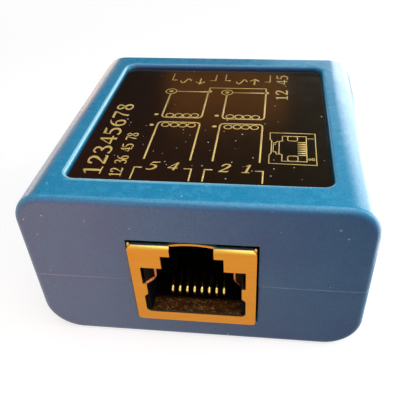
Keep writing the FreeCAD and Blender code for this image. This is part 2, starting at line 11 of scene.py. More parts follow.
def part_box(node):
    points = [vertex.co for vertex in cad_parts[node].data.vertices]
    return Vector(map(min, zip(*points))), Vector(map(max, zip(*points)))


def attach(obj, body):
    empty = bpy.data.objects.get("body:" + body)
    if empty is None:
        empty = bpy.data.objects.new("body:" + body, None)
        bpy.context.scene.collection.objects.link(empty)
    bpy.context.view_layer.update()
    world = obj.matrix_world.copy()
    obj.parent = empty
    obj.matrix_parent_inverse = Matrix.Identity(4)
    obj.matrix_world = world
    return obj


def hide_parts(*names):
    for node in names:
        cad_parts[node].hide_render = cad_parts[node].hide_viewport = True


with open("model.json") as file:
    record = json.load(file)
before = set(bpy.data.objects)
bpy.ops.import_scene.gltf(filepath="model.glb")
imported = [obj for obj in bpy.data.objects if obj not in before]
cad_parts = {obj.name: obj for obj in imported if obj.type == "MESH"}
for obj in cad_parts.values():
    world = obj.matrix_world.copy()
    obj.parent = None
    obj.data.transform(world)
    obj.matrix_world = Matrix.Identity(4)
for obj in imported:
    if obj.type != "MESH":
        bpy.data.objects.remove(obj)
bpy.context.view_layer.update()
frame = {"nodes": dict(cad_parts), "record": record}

# Lengths in this file are millimetres in the CAD frame: X to the right seen from the jack,
# Y from the jack to the coaxial sockets, Z up. Blender gets them in metres.
mm = 0.001
nodes = frame["nodes"]
slotOf = {part["node"]: part["material_slot"] for part in frame["record"]["subparts"]}


def linear(hexText):
    # sRGB hex to linear colour: c / 12.92 near black, ((c + 0.055) / 1.055) ^ 2.4 above
    values = np.array([int(hexText[i:i + 2], 16) for i in (1, 3, 5)]) / 255
    values = np.where(values <= 0.04045, values / 12.92, ((values + 0.055) / 1.055) ** 2.4)
    return (*values.tolist(), 1.0)


def setInputs(node, inputs):
    # Inputs by name or number, or as a list in the node's own order: values, or other nodes' outputs
    for key, value in inputs.items() if isinstance(inputs, dict) else enumerate(inputs):
        if isinstance(value, bpy.types.NodeSocket):
            node.id_data.links.new(value, node.inputs[key])
        else:
            node.inputs[key].default_value = value


def addNode(tree, kind, inputs=(), output=0, **settings):
    # One shader node with its inputs and settings. Gives the output asked for, or with None all of them
    node = tree.nodes.new("ShaderNode" + kind)
    for key, value in settings.items():
        setattr(node, key, value)
    setInputs(node, inputs)
    return node.outputs if output is None else node.outputs[output]


def newMaterial(name):
    # A new finish: the material, what adds a node to it, its shader, and the place in the CAD frame
    material = bpy.data.materials.new(name)
    material.use_nodes = True
    add = partial(addNode, material.node_tree)
    material.node_tree.nodes.clear()
    surface = add("BsdfPrincipled")
    add("OutputMaterial", [surface], None)
    return material, add, surface.node, add("TexCoord", output="Object")


def scaleOf(size):
    # Texture scale at which lumps or cells are about size millimetres across, and at which a wave's bands
    # repeat every 0.314 of that
    return 1 / (size * mm)


def product(add, *factors):
    # Several amounts multiplied, so that something shows only where all of them do
    return reduce(lambda first, second: add("Math", [first, second], operation="MULTIPLY"), factors)


def layered(add, base, *layers):
    # A colour with others laid over it in turn, each as far as its own amount goes from 0 to 1
    base = linear(base) if isinstance(base, str) else base
    for amount, colour in layers:
        colour = linear(colour) if isinstance(colour, str) else colour
        base = add("Mix", {0: amount, 6: base, 7: colour}, 2, data_type="RGBA")
    return base


def specksAt(add, place, cell, size, share):
    # Sparse dots: one dot in a share of the cells, each at most size across, all in millimetres
    cells = add("TexVoronoi", {"Vector": place, "Scale": scaleOf(cell)}, None)
    near = add("MapRange", [cells["Distance"], 0.5 * size / cell, 0.3 * size / cell])
    lucky = add("Math", [add("SeparateColor", [cells["Color"]]), share], operation="LESS_THAN")
    return product(add, near, lucky)


caseLook = {
    "blue": "#24a3d2",           # fresh moulded colour
    "deepBlue": "#0f81ab",       # between the grains
    "paintedShadeLeft": "#545e90",     # painted shade and warm reflection on the end faces, greyed and slightly violet at their left
    "paintedShadeRight": "#303c71",    # and darker and bluer painted shade at their right
    "speck": "#b9d6e0",          # pale dust in the grain
    "mottled": "#52bade",        # paler patches of its top
    "rimHighlight": "#a6e6fa",           # painted highlight along the edge of the recess
    "grain": 0.2,                # coarser than the real one, so that it shows
    "mottle": 1.1,
    "cloud": 9.0,                # how the painted shade of the end faces and the gloss vary
    "rimX": (0.0, 17.3),         # middle and half width of the burnished rim and of its painted highlight, in X and in Y
    "rimY": (0.35, 17.95),
}


def mouldedAbs(seamHighlight=None):
    # Blue ABS from a spark-eroded mould: a fine even grain breaks the highlight, and dust sits in it
    material, add, shader, place = newMaterial("blue ABS seam flash with painted highlight" if seamHighlight else "blue ABS spark-eroded")
    grain = add("TexNoise", {"Vector": place, "Scale": scaleOf(caseLook["grain"]), "Roughness": 0.6})
    cloud = add("TexNoise", {"Vector": place, "Scale": scaleOf(caseLook["cloud"]), "Detail": 3.0,
                             "Roughness": 0.55})
    mottle = add("TexNoise", {"Vector": place, "Scale": scaleOf(caseLook["mottle"]), "Detail": 4.0,
                              "Roughness": 0.65})
    x, y = add("SeparateXYZ", [place], None)[:2]
    facing = add("SeparateXYZ", [add("NewGeometry", output="Normal")], None)
    mottling = product(add, add("MapRange", [mottle, 0.48, 0.7, 0.0, 0.42]),
                       add("MapRange", [facing[2], 0.9, 0.98]))
    # The end faces get a painted shade and warm painted reflection: greyed violet at the left, darker and
    # bluer at the right
    endways = add("Math", [facing[1]], operation="ABSOLUTE")
    endFaceShade = product(add, add("MapRange", [endways, 0.45, 0.95]),
                      add("MapRange", [cloud, 0.3, 0.7, 0.66, 0.8]))
    endFaceShadeColour = layered(add, caseLook["paintedShadeLeft"],
                   (add("MapRange", [x, -14 * mm, 20 * mm]), caseLook["paintedShadeRight"]))
    # The rim of the recess is burnished, and carries a painted highlight: least at its back and right, most
    # along the front edge, where it spreads on to the flat
    withinRim = []
    for across, (middle, half) in ((x, caseLook["rimX"]), (y, caseLook["rimY"])):
        away = add("Math", [across, middle * mm], operation="SUBTRACT")
        away = add("Math", [away], operation="ABSOLUTE")
        withinRim.append(add("MapRange", [away, (half + 0.1) * mm, half * mm]))
    nearRecess = product(add, *withinRim)
    fadesRight = add("MapRange", [x, 5 * mm, 16 * mm, 1.0, 0.15])
    sloping = add("MapRange", [facing[2], 0.3, 0.6])
    rimHighlight = product(add, nearRecess, fadesRight, add("MapRange", [facing[2], 0.9995, 0.985]), sloping,
                   add("MapRange", [facing[1], -0.4, -0.1, 0.0, 0.85]))
    frontRimHighlight = product(add, nearRecess, add("MapRange", [y, -16.2 * mm, -16.8 * mm]), sloping,
                  add("MapRange", [x, -16.4 * mm, -15.2 * mm]),
                  add("MapRange", [x, -6 * mm, 14.8 * mm, 0.5, 0.0]))
    layers = [
        (add("MapRange", [grain, 0.35, 0.65]), caseLook["blue"]),
        (mottling, caseLook["mottled"]),
        (endFaceShade, endFaceShadeColour),
        (add("Math", [rimHighlight, frontRimHighlight], operation="MAXIMUM"), caseLook["rimHighlight"]),
        (product(add, specksAt(add, place, 1.3, 0.28, 0.2), 0.75), caseLook["speck"]),
    ]
    # The seam's bead is paler: a painted highlight, strongest at the left
    if seamHighlight:
        layers.append((add("MapRange", [x, -4 * mm, 12 * mm, 0.75, 0.4]), seamHighlight))
    plainGloss = add("MapRange", [cloud, 0.3, 0.7, 0.23, 0.31])
    burnished = product(add, nearRecess, fadesRight, add("MapRange", [facing[2], 0.95, 0.85]))
    matted = product(add, endFaceShade, add("MapRange", [x, -14 * mm, 18 * mm]))
    setInputs(shader, {
        "Base Color": layered(add, caseLook["deepBlue"], *layers),
        "Roughness": add("MapRange", [burnished, 0.0, 1.0, plainGloss, 0.14]),
        "IOR": 1.53,
        "Specular IOR Level": add("MapRange", [matted, 0.0, 1.0, 0.5, 0.17]),
        "Normal": add("Bump", {"Height": grain, "Distance": 0.02 * mm, "Strength": 0.5}),
    })
    return material


def glossLabel():
    # Printed polycarbonate plate, gloss: nearly black brown, faint wiping marks and a few dust specks
    material, add, shader, place = newMaterial("brown-black polycarbonate gloss")
    cloud = add("TexNoise", {"Vector": place, "Scale": scaleOf(11.0), "Detail": 3.0, "Roughness": 0.6})
    wiped = add("TexNoise", {"Vector": place, "Scale": scaleOf(1.5), "Detail": 4.0, "Roughness": 0.6})
    setInputs(shader, {
        "Base Color": layered(add, "#100906", (add("MapRange", [cloud, 0.3, 0.7]), "#180e08"),
                              (specksAt(add, place, 1.3, 0.22, 0.3), "#e9e2d2")),
        "Roughness": add("MapRange", [wiped, 0.3, 0.7, 0.12, 0.18]),
        "IOR": 1.58,
    })
    return material


def goldInk():
    # Screen-printed bronze ink: slightly grainy, and darker and browner towards the back of the plate. The
    # grain is drawn coarser than the real one, so that it shows
    material, add, shader, place = newMaterial("bronze ink screen-printed")
    grain = add("TexNoise", {"Vector": place, "Scale": scaleOf(0.18), "Roughness": 0.6})
    towardsBack = add("MapRange", [add("SeparateXYZ", [place], 1), 4 * mm, 16 * mm, 0.0, 0.6])
    setInputs(shader, {
        "Base Color": layered(add, "#cba552", (add("MapRange", [grain, 0.3, 0.7]), "#f0d27e"),
                              (towardsBack, "#7b6324")),
        "Roughness": add("MapRange", [grain, 0.3, 0.7, 0.38, 0.55]),
        "Metallic": 0.25,
        "Normal": add("Bump", {"Height": grain, "Distance": 0.01 * mm, "Strength": 0.5}),
    })
    return material


shield = {
    "height": 13.35,           # above the board
    "middle": -0.2,            # its middle line in X
    "sheet": 0.82,             # from this far behind its face on, it is inside, in painted shade
    "fingerReach": 6.6,        # its fingers' windows get the painted shade too: how far they go from its middle, and their low and high ends below its top
    "fingerWindow": (6.4, 3.6),   # and their low and high ends below its top
}


def platedSheet():
    # Gold-plated brass sheet: rolled, so faint streaks run along X, drawn coarser than the real ones so that
    # they show. It gets a painted yellow highlight where it bends upward, a painted silvery reflection on
    # its top, and near-black painted shade inside and in its fingers' windows
    material, add, shader, place = newMaterial("gold-plated brass sheet")
    along = add("Mapping", {"Vector": place, "Scale": (0.12, 1.0, 1.0)})
    streak = add("TexNoise", {"Vector": along, "Scale": scaleOf(0.22), "Detail": 3.0, "Roughness": 0.6})
    cloud = add("TexNoise", {"Vector": place, "Scale": scaleOf(4.0)})
    facing = add("SeparateXYZ", [add("NewGeometry", output="Normal")], 2)
    x, y, z = add("SeparateXYZ", [place], None)
    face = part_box("jack_shield")[0].y
    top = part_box("circuit_board")[1].z + shield["height"] * mm
    behind = add("MapRange", [y, face + shield["sheet"] * mm, face + (shield["sheet"] + 0.13) * mm])
    paintedShadeInside = product(add, behind, add("MapRange", [z, top + 0.08 * mm, top]))
    away = add("Math", [x, -shield["middle"] * mm], operation="ADD")
    away = add("Math", [away], operation="ABSOLUTE")
    reach, (low, high) = shield["fingerReach"], shield["fingerWindow"]
    window = product(add, add("MapRange", [away, (reach + 0.06) * mm, reach * mm]),
                     add("MapRange", [z, top - (low + 0.05) * mm, top - low * mm]),
                     add("MapRange", [z, top - (high - 0.05) * mm, top - high * mm]))
    # Painted yellow highlight on upward slanting faces, painted silvery reflection on the top, painted shade
    # inside
    setInputs(shader, {
        "Base Color": layered(add, "#c9822a", (add("MapRange", [streak, 0.3, 0.7]), "#cf892f"),
                              (add("MapRange", [cloud, 0.5, 0.8, 0.0, 0.4]), "#c07926"),
                              (add("MapRange", [facing, 0.15, 0.7]), "#dfae4a"),
                              (add("MapRange", [facing, 0.86, 0.98, 0.0, 0.9]), "#c9bda4"),
                              (add("Math", [paintedShadeInside, window], operation="MAXIMUM"), "#140b05")),
        "Roughness": add("MapRange", [streak, 0.3, 0.7, 0.30, 0.36]),
        "Metallic": 1.0,
        "Normal": add("Bump", {"Height": streak, "Distance": 0.003 * mm, "Strength": 0.5}),
    })
    return material


def dustyNylon():
    # Black glass-filled nylon insert: dull, with brown dust and irregular grit lying on what faces up
    material, add, shader, place = newMaterial("black glass-filled nylon dusty")
    facing = add("SeparateXYZ", [add("NewGeometry", output="Normal")], 2)
    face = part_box("jack_shield")[0].y
    # The dust gives way to black painted shade 3 to 3.7 mm behind the shield's face
    litNearMouth = add("MapRange", [add("SeparateXYZ", [place], 1), face + 3.7 * mm, face + 3.0 * mm])
    level = product(add, add("MapRange", [facing, 0.6, 0.95]), litNearMouth)
    cloud = add("TexNoise", {"Vector": place, "Scale": scaleOf(1.4), "Detail": 4.0, "Roughness": 0.65})
    drift = add("TexNoise", {"Vector": place, "Scale": scaleOf(0.9)})
    grains = add("TexNoise", {"Vector": place, "Scale": scaleOf(0.17), "Roughness": 0.6})
    grit = product(add, add("MapRange", [grains, 0.55, 0.63]), add("MapRange", [drift, 0.38, 0.58]))
    varied = add("MapRange", [cloud, 0.3, 0.7])
    dust = layered(add, "#3a1f0e", (varied, "#5e3517"), (grit, "#d8a860"))
    setInputs(shader, {
        "Base Color": layered(add, "#050505", (varied, "#0a0909"), (level, dust)),
        "Roughness": add("MapRange", [cloud, 0.3, 0.7, 0.7, 0.85]),
        "IOR": 1.53,
        "Specular IOR Level": 0.06,
        "Normal": add("Bump", {"Height": cloud, "Distance": 0.05 * mm, "Strength": 0.5}),
    })
    return material


def variedFinish(name, low, high, noise, roughness, values, bump=None):
    # What the simpler finishes share: a noise, given as lumps in millimetres, detail and grit, takes the
    # colour from low to high, the roughness too where that is a pair, and the surface where bump gives the
    # height of the lumps and its strength
    material, add, shader, place = newMaterial(name)
    lumps, detail, grit = noise
    cloud = add("TexNoise", {"Vector": place, "Scale": scaleOf(lumps), "Detail": detail, "Roughness": grit})
    if isinstance(roughness, tuple):
        roughness = add("MapRange", [cloud, 0.3, 0.7, *roughness])
    if bump:
        lumpy = add("Bump", {"Height": cloud, "Distance": bump[0] * mm, "Strength": bump[1]})
        setInputs(shader, {"Normal": lumpy})
    colour = layered(add, low, (add("MapRange", [cloud, 0.3, 0.7]), high))
    setInputs(shader, {"Base Color": colour, "Roughness": roughness, **values})
    return material, add, shader, place


def goldWire():
    # Gold-plated phosphor bronze: bright where it is wiped, a little grainy on the cut edge
    return variedFinish("gold-plated phosphor bronze", "#e9b95a", "#fbe08e", (0.12, 2.0, 0.6),
                        (0.12, 0.22), {"Metallic": 1.0})[0]


def wornEdge():
    # The same plating rubbed to a dull satin on a spring's edge
    return variedFinish("gold plating worn satin", "#c9783a", "#e09a55", (0.2, 2.0, 0.6),
                        (0.45, 0.6), {"Metallic": 0.55})[0]


def nickelPlate():
    # Nickel on cast zinc, lightly tumbled: bright and a little warm, with a soft orange-peel
    material, add, shader, place = variedFinish(
        "nickel-plated zinc", "#b9b4aa", "#cbc7be", (5.0, 2.0, 0.5), (0.2, 0.32), {"Metallic": 1.0})
    peel = add("TexNoise", {"Vector": place, "Scale": scaleOf(0.6)})
    setInputs(shader, {"Normal": add("Bump", {"Height": peel, "Distance": 0.01 * mm, "Strength": 0.4})})
    return material


def whiteResin():
    # Turned acetal: white, waxy, with fine lathe rings across its axis
    material, add, shader, place = variedFinish(
        "white acetal turned", "#e4e1d8", "#f0eee7", (2.0, 2.0, 0.5), 0.38,
        {"IOR": 1.48, "Subsurface Weight": 0.12, "Subsurface Scale": 0.4 * mm})
    rings = add("TexWave", {"Vector": place, "Scale": scaleOf(0.5), "Distortion": 0.6}, 1,
                bands_direction="Y")
    setInputs(shader, {"Normal": add("Bump", {"Height": rings, "Distance": 0.01 * mm, "Strength": 0.4})})
    return material


def solderMask():
    # Green solder mask over glass cloth: gloss, with the weave faintly showing
    material, add, shader, place = variedFinish(
        "green solder mask", "#12502a", "#1a6636", (3.0, 2.0, 0.5), 0.3, {})
    weave = add("TexWave", {"Vector": place, "Scale": scaleOf(1.2), "Distortion": 0.3}, 1,
                bands_direction="X")
    setInputs(shader, {"Normal": add("Bump", {"Height": weave, "Distance": 0.01 * mm, "Strength": 0.4})})
    return material


def sinteredFerrite():
    # Ground manganese-zinc ferrite: dark grey, hardly any sheen, its grains drawn coarse so that they show
    return variedFinish("sintered ferrite ground", "#2b2c2f", "#3f4044", (0.15, 3.0, 0.7), 0.6, {},
                        (0.02, 0.6))[0]


def tinnedWire():
    # Dipped tin: pale grey metal, slightly lumpy
    return variedFinish("tinned copper wire", "#a9aaa9", "#c9cac8", (0.5, 2.0, 0.5), 0.35,
                        {"Metallic": 1.0}, (0.02, 0.5))[0]


def enamelledWire():
    # Enamelled copper wound in close turns, each ridge one turn of wire
    material, add, shader, place = newMaterial("enamelled copper winding")
    turns = add("TexWave", {"Vector": place, "Scale": scaleOf(1.4), "Distortion": 0.2}, 1,
                bands_direction="Y")
    setInputs(shader, {
        "Base Color": layered(add, "#7a3a18", (turns, "#c26a30")),
        "Roughness": 0.3,
        "Metallic": 0.8,
        "Normal": add("Bump", {"Height": turns, "Distance": 0.06 * mm, "Strength": 0.8}),
    })
    return material


def paleDust():
    # House dust that settled on the plate: matt, off-white
    return variedFinish("pale house dust", "#b9ad97", "#efe8da", (0.1, 2.0, 0.6), 0.9, {})[0]


looks = {
    "case_blue": mouldedAbs(),
    "plate_black": glossLabel(),
    "board_green": solderMask(),
    "shield_gold": platedSheet(),
    "contact_gold": goldWire(),
    "insert_black": dustyNylon(),
    "socket_nickel": nickelPlate(),
    "insulator_white": whiteResin(),
    "ferrite": sinteredFerrite(),
    "winding_copper": enamelledWire(),
    "pin_tin": tinnedWire(),
}
inkLook = goldInk()
print("materials ready:", len(looks) + 1)


def joined(shapes):
    # Several (points, face sets) as one
    points = []
    faceSets = []
    start = 0
    for shapePoints, shapeFaces in shapes:
        points.append(shapePoints)
        faceSets += [faces + start for faces in shapeFaces]
        start += len(shapePoints)
    return np.concatenate(points), faceSets


def addPiece(name, shapes, look, covers=()):
    # A smooth shaded mesh object from shapes: points in millimetres, and arrays of faces with 3 or 4 corners
    points, faceSets = joined(shapes)
    mesh = bpy.data.meshes.new(name)
    counts = np.concatenate([np.full(len(faces), faces.shape[1]) for faces in faceSets])
    corners = np.concatenate([faces.ravel() for faces in faceSets])
    mesh.vertices.add(len(points))
    mesh.vertices.foreach_set("co", (points * mm).astype(np.float32).ravel())
    mesh.loops.add(len(corners))
    mesh.loops.foreach_set("vertex_index", corners.astype(np.int32))
    mesh.polygons.add(len(counts))
    mesh.polygons.foreach_set("loop_start", (np.cumsum(counts) - counts).astype(np.int32))
    mesh.update(calc_edges=True)
    mesh.validate()
    mesh.materials.append(look)
    piece = bpy.data.objects.new(name, mesh)
    bpy.context.scene.collection.objects.link(piece)
    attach(piece, "root")
    if covers:
        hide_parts(*covers)
    return piece


finishing = {
    "merge": 0.0005,       # corners of the loose triangles that are one
    "flat": 0.4,           # degrees up to which two faces are one
    "sharp": 30.0,         # degrees from which an edge is broken
    "segments": 2,
    "weight": 60,          # how far the large faces keep the shading flat
}


def softened(node, edgeWidth):
    # A merged copy of a CAD node, smooth across its rounds, with its sharp edges just broken
    sharp = math.radians(finishing["sharp"])
    mesh = nodes[node].data.copy()
    work = bmesh.new()
    work.from_mesh(mesh)
    bmesh.ops.remove_doubles(work, verts=work.verts, dist=finishing["merge"] * mm)
    bmesh.ops.dissolve_limit(work, angle_limit=math.radians(finishing["flat"]), verts=work.verts,
                             edges=work.edges, use_dissolve_boundaries=False)
    for edge in work.edges:
        edge.smooth = len(edge.link_faces) == 2 and edge.calc_face_angle() < sharp
    for face in work.faces:
        face.smooth = True
    work.to_mesh(mesh)
    work.free()
    piece = bpy.data.objects.new(node + "_finished", mesh)
    bpy.context.scene.collection.objects.link(piece)
    slotName = slotOf[node]
    mesh.materials.clear()
    mesh.materials.append(looks[slotName])
    bevel = piece.modifiers.new("broken edges", "BEVEL")
    bevel.width = edgeWidth * mm
    bevel.segments = finishing["segments"]
    bevel.limit_method = "ANGLE"
    bevel.angle_limit = sharp
    bevel.use_clamp_overlap = True
    weighted = piece.modifiers.new("flat faces stay flat", "WEIGHTED_NORMAL")
    weighted.weight = finishing["weight"]
    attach(piece, "root")
    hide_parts(node)
    return piece


for nodeName, node in nodes.items():
    node.data.materials.clear()
    node.data.materials.append(looks[slotOf[nodeName]])

# Edges that are broken or bent round on each node that shows, in millimetres
brokenEdges = {
    "top_shell": 0.14,
    "bottom_shell": 0.12,
    "top_plate": 0.06,
    "jack_shield": 0.07,
    "jack_insert": 0.06,
    "receive_socket_body": 0.12,
    "send_socket_body": 0.12,
    "receive_socket_nut": 0.22,
    "send_socket_nut": 0.22,
    "receive_socket_insulator": 0.1,
    "send_socket_insulator": 0.1,
    "receive_socket_contact": 0.06,
    "send_socket_contact": 0.06,
}
finished = {nodeName: softened(nodeName, width) for nodeName, width in brokenEdges.items()}
print("CAD pieces finished:", len(finished))

plateRaise = 0.36   # the plate comes this much nearer to the recess's rim than its CAD solid


def raisePlate():
    # The finished plate is thicker: its upper face goes up, its underside stays on the recess's floor
    mesh = finished["top_plate"].data
    middle = (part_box("top_plate")[0].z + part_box("top_plate")[1].z) / 2
    places = np.empty(3 * len(mesh.vertices), dtype=np.float32)
    mesh.vertices.foreach_get("co", places)
    places = places.reshape(-1, 3)
    places[places[:, 2] > middle, 2] += plateRaise * mm
    mesh.vertices.foreach_set("co", places.ravel())
    mesh.update()


raisePlate()


def tubeFaces(rings, corners, closed=False):
    # Faces between neighbouring rings of points, each ring counter-clockwise seen from the tube's end. An
    # open tube has two more points, its hubs, and a fan of triangles round each
    ring = np.arange(rings if closed else rings - 1)[:, None] * corners
    following = (ring + corners) % (rings * corners)
    step = np.arange(corners)[None, :]
    after = (step + 1) % corners
    quads = np.stack([ring + step, ring + after, following + after, following + step], axis=2)
    if closed:
        return [quads.reshape(-1, 4)]
    last = (rings - 1) * corners
    hubs = np.full(corners, rings * corners)
    start = np.stack([after[0], step[0], hubs], axis=1)
    end = np.stack([step[0] + last, after[0] + last, hubs + 1], axis=1)
    return [quads.reshape(-1, 4), start, end]


def swept(path, sides, ups, section, closed=False):
    # A section carried along a path: point (i, j) = path i + side i * section j x + up i * section j y.
    # The section runs counter-clockwise and side x up points along the path; a fan closes each open end
    path, sides, ups = np.broadcast_arrays(path, sides, ups)
    section = np.asarray(section, float)[None]
    points = path[:, None] + sides[:, None] * section[..., :1] + ups[:, None] * section[..., 1:]
    points = points.reshape(-1, 3)
    faceSets = tubeFaces(len(path), section.shape[1], closed)
    return (points if closed else np.concatenate([points, path[:1], path[-1:]])), faceSets


def directions(path):
    # Unit vectors along a path, each from its point's two neighbours
    run = np.gradient(path, axis=0)
    return run / np.linalg.norm(run, axis=1, keepdims=True)


def squaredOff(wave, power):
    # A sine or cosine pushed towards -1 and 1 by a power below 1: sign(w) |w| ^ power
    return np.sign(wave) * np.abs(wave) ** power


def roundedSection(halfWidth, halfHeight, power, steps=16):
    # Superellipse, counter-clockwise: |x / a| ^ (2 / power) + |y / b| ^ (2 / power) = 1
    angle = np.linspace(0, 2 * np.pi, steps, endpoint=False)
    return np.stack([halfWidth * squaredOff(np.cos(angle), power),
                     halfHeight * squaredOff(np.sin(angle), power)], axis=1)


def bentLine(corners, radius, closed=False, steps=5):
    # A line whose corners are rounded: each gives way to the curve (1-t)^2 A + 2t(1-t) C + t^2 B
    corners = np.asarray(corners, float)
    middle = corners if closed else corners[1:-1]
    before = np.roll(corners, 1, axis=0) if closed else corners[:-2]
    after = np.roll(corners, -1, axis=0) if closed else corners[2:]
    start, end = (middle + (other - middle) / np.linalg.norm(other - middle, axis=1, keepdims=True) * radius
                  for other in (before, after))
    t = np.linspace(0, 1, steps)[None, :, None]
    curve = (1 - t) ** 2 * start[:, None] + 2 * t * (1 - t) * middle[:, None] + t ** 2 * end[:, None]
    curve = curve.reshape(-1, corners.shape[1])
    return curve if closed else np.concatenate([corners[:1], curve, corners[-1:]])


springs = {
    "halfWidth": 0.205,
    "halfThickness": 0.175,
    "squareness": 0.9,     # power of the section's superellipse
    "legHeight": 1.64,     # leg's centre line above the board
    "lift": 0.4,           # the leg rises by this towards the bend
    "liftStart": 9.4,      # from the shield's face to where that starts, in front of the insert's back wall
    "bendRadius": 0.74,
    "bendSetback": 2.85,   # from the shield's face to the front of the bend's centre line
    "rise": 20.0,          # degrees the blade slopes up
    "reach": 9.4,          # of the blade
    "tailBend": 0.35,
    "tailSteps": 6,
    "bendSteps": 25,
}


def contactSpring(number):
    # Drawn wire in place of the CAD hairpin. In the YZ plane: tail straight up, a quarter turn of radius
    # tailBend, leg forward and a little up, then place = centre - r (sin, cos) round the hairpin, and the
    # straight blade
    node = f"jack_contact_{number}"
    low, high = (np.array(corner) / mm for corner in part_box(node))
    face = float(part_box("jack_shield")[0].y) / mm
    legZ = float(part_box("circuit_board")[1].z) / mm + springs["legHeight"]
    tailY = high[1] - springs["halfThickness"]
    radius, turn = springs["bendRadius"], springs["tailBend"]
    quarter = np.linspace(0, np.pi / 2, springs["tailSteps"])
    tail = np.stack([tailY - turn + turn * np.cos(quarter), legZ - turn + turn * np.sin(quarter)], axis=1)
    rise = math.radians(springs["rise"])
    slope = np.array([math.cos(rise), math.sin(rise)])
    angle = np.linspace(0, np.pi - rise, springs["bendSteps"])
    centre = np.array([face + springs["bendSetback"] + radius, legZ + springs["lift"] + radius])
    hairpin = centre - radius * np.stack([np.sin(angle), np.cos(angle)], axis=1)
    liftStart = (face + springs["liftStart"], legZ)
    blade = hairpin[-1] + springs["reach"] * slope
    flat = np.concatenate([[(tailY, low[2])], tail, [liftStart], hairpin, [blade]])
    run = directions(flat)
    run[0], run[-1] = (0, 1), slope
    path = np.column_stack([np.full(len(flat), (low[0] + high[0]) / 2), flat])
    ups = np.column_stack([np.zeros(len(flat)), run[:, 1], -run[:, 0]])
    section = roundedSection(springs["halfWidth"], springs["halfThickness"], springs["squareness"])
    addPiece(f"contact_spring_{number}", [swept(path, (1.0, 0.0, 0.0), ups, section)],
             looks["contact_gold"], [node])


for number in range(1, 9):
    contactSpring(number)

neckThread = {
    "sockets": (-10.0, 10.0),
    "axis": 11.0,          # height of the sockets' middle lines
    "root": 6.32,
    "crest": 6.5,
    "pitch": 0.7,
    "start": 23.7,
    "turns": 1.45,
    "steps": 64,           # in a turn
    "runOut": 12,          # the ridge grows and shrinks over one part in so many of its length,
    "endHeight": 0.02,     # from this share of its height
    "section": [(-0.4, -0.22), (1.0, 0.0), (-0.4, 0.22)],   # of the ridge's height, and along the neck
}


def threadRidge(x):
    # Helical ridge on a socket's neck: angle = 2 pi turns t, y = start + pitch turns t; its triangular
    # section stands out of the neck along the radius and shrinks to nothing at both ends
    turns, root = neckThread["turns"], neckThread["root"]
    t = np.linspace(0, 1, int(neckThread["steps"] * turns))
    angle = 2 * np.pi * turns * t
    outward = np.stack([np.cos(angle), np.zeros_like(angle), np.sin(angle)], axis=1)
    foot = np.array([x, 0, neckThread["axis"]]) + root * outward
    foot[:, 1] = neckThread["start"] + neckThread["pitch"] * turns * t
    share = np.minimum(1, neckThread["runOut"] * np.minimum(t, 1 - t) + neckThread["endHeight"])[:, None]
    height = (neckThread["crest"] - root) * share
    return swept(foot, outward * height, (0.0, 1.0, 0.0), neckThread["section"])


addPiece("neck_threads", [threadRidge(x) for x in neckThread["sockets"]], looks["socket_nickel"])

tips = {
    "fromSide": 0.2,       # their middles, from the shield's sides, its face and its lowest point
    "fromFace": 0.42,
    "height": 15.16,
    "radii": (0.2, 0.27, 0.34),
    "squareness": 0.8,
    "rings": 11,
    "around": 20,
}


def cornerTips():
    # Ears left standing where the shield's front and side bends meet: place = centre + r (cos v cos u,
    # cos v sin u, sin v), each sine and cosine squared off a little
    low, high = (np.array(corner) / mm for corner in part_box("jack_shield"))
    u = np.linspace(0, 2 * np.pi, tips["around"], endpoint=False)
    v = np.linspace(-np.pi / 2, np.pi / 2, tips["rings"] + 2)[1:-1, None]
    cosU, sinU, cosV, sinV = (squaredOff(wave, tips["squareness"])
                              for wave in (np.cos(u), np.sin(u), np.cos(v), np.sin(v)))
    unit = np.stack(np.broadcast_arrays(cosV * cosU, cosV * sinU, sinV), axis=2).reshape(-1, 3)
    unit = np.concatenate([unit, [(0, 0, -1.0), (0, 0, 1.0)]])
    shapes = []
    for x in (low[0] + tips["fromSide"], high[0] - tips["fromSide"]):
        centre = np.array([x, low[1] + tips["fromFace"], low[2] + tips["height"]])
        shapes.append((centre + unit * tips["radii"], tubeFaces(tips["rings"], tips["around"])))
    addPiece("shield_corner_tips", shapes, looks["shield_gold"])


cornerTips()

fingers = {
    "tip": (6.3, 0.17),        # from the shield's middle line and from its face
    "crown": (5.18, 1.35),
    "low": 7.0,                # above the board
    "high": 9.6,
    "bend": 0.45,
    "radius": 0.15,
    "thicknessAt": (0, 0.1, 0.5, 1),   # of the way from tip to crown: thickness in radii, left and right
    "thickness": {-1: (1.5, 1.5, 0.8, 1.25), 1: (0.12, 0.12, 0.4, 1.15)},
}


def fingerEdges():
    # Wiped edge of each spring finger: a thin round bead along its lower edge and up its crown
    low, high = (np.array(corner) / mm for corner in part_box("jack_shield"))
    board = float(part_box("circuit_board")[1].z) / mm
    section = roundedSection(fingers["radius"], fingers["radius"], 1.0, 12)
    shapes = []
    for side, thickness in fingers["thickness"].items():
        start, turn, end = [
            np.array([(low[0] + high[0]) / 2 + side * fingers[edge][0], fingers[edge][1] + low[1],
                      board + fingers[level]])
            for edge, level in (("tip", "low"), ("crown", "low"), ("crown", "high"))]
        path = bentLine([start, turn, end], fingers["bend"], steps=9)
        across = np.cross(end - turn, start - turn)
        across /= np.linalg.norm(across)
        taper = np.interp(np.linspace(0, 1, len(path)), fingers["thicknessAt"], thickness)[:, None]
        sides = across * taper
        shapes.append(swept(path, sides, np.cross(directions(path), sides), section))
    addPiece("shield_finger_edges", shapes, wornEdge())


fingerEdges()

# The case's four upright corners, counter-clockwise from the front right: the signs of their x and y, and
# the angle in degrees at which the outline starts to turn
cornerTurns = ((1, -1, -90), (1, 1, 0), (-1, 1, 90), (-1, -1, 180))
cornerSteps = 9


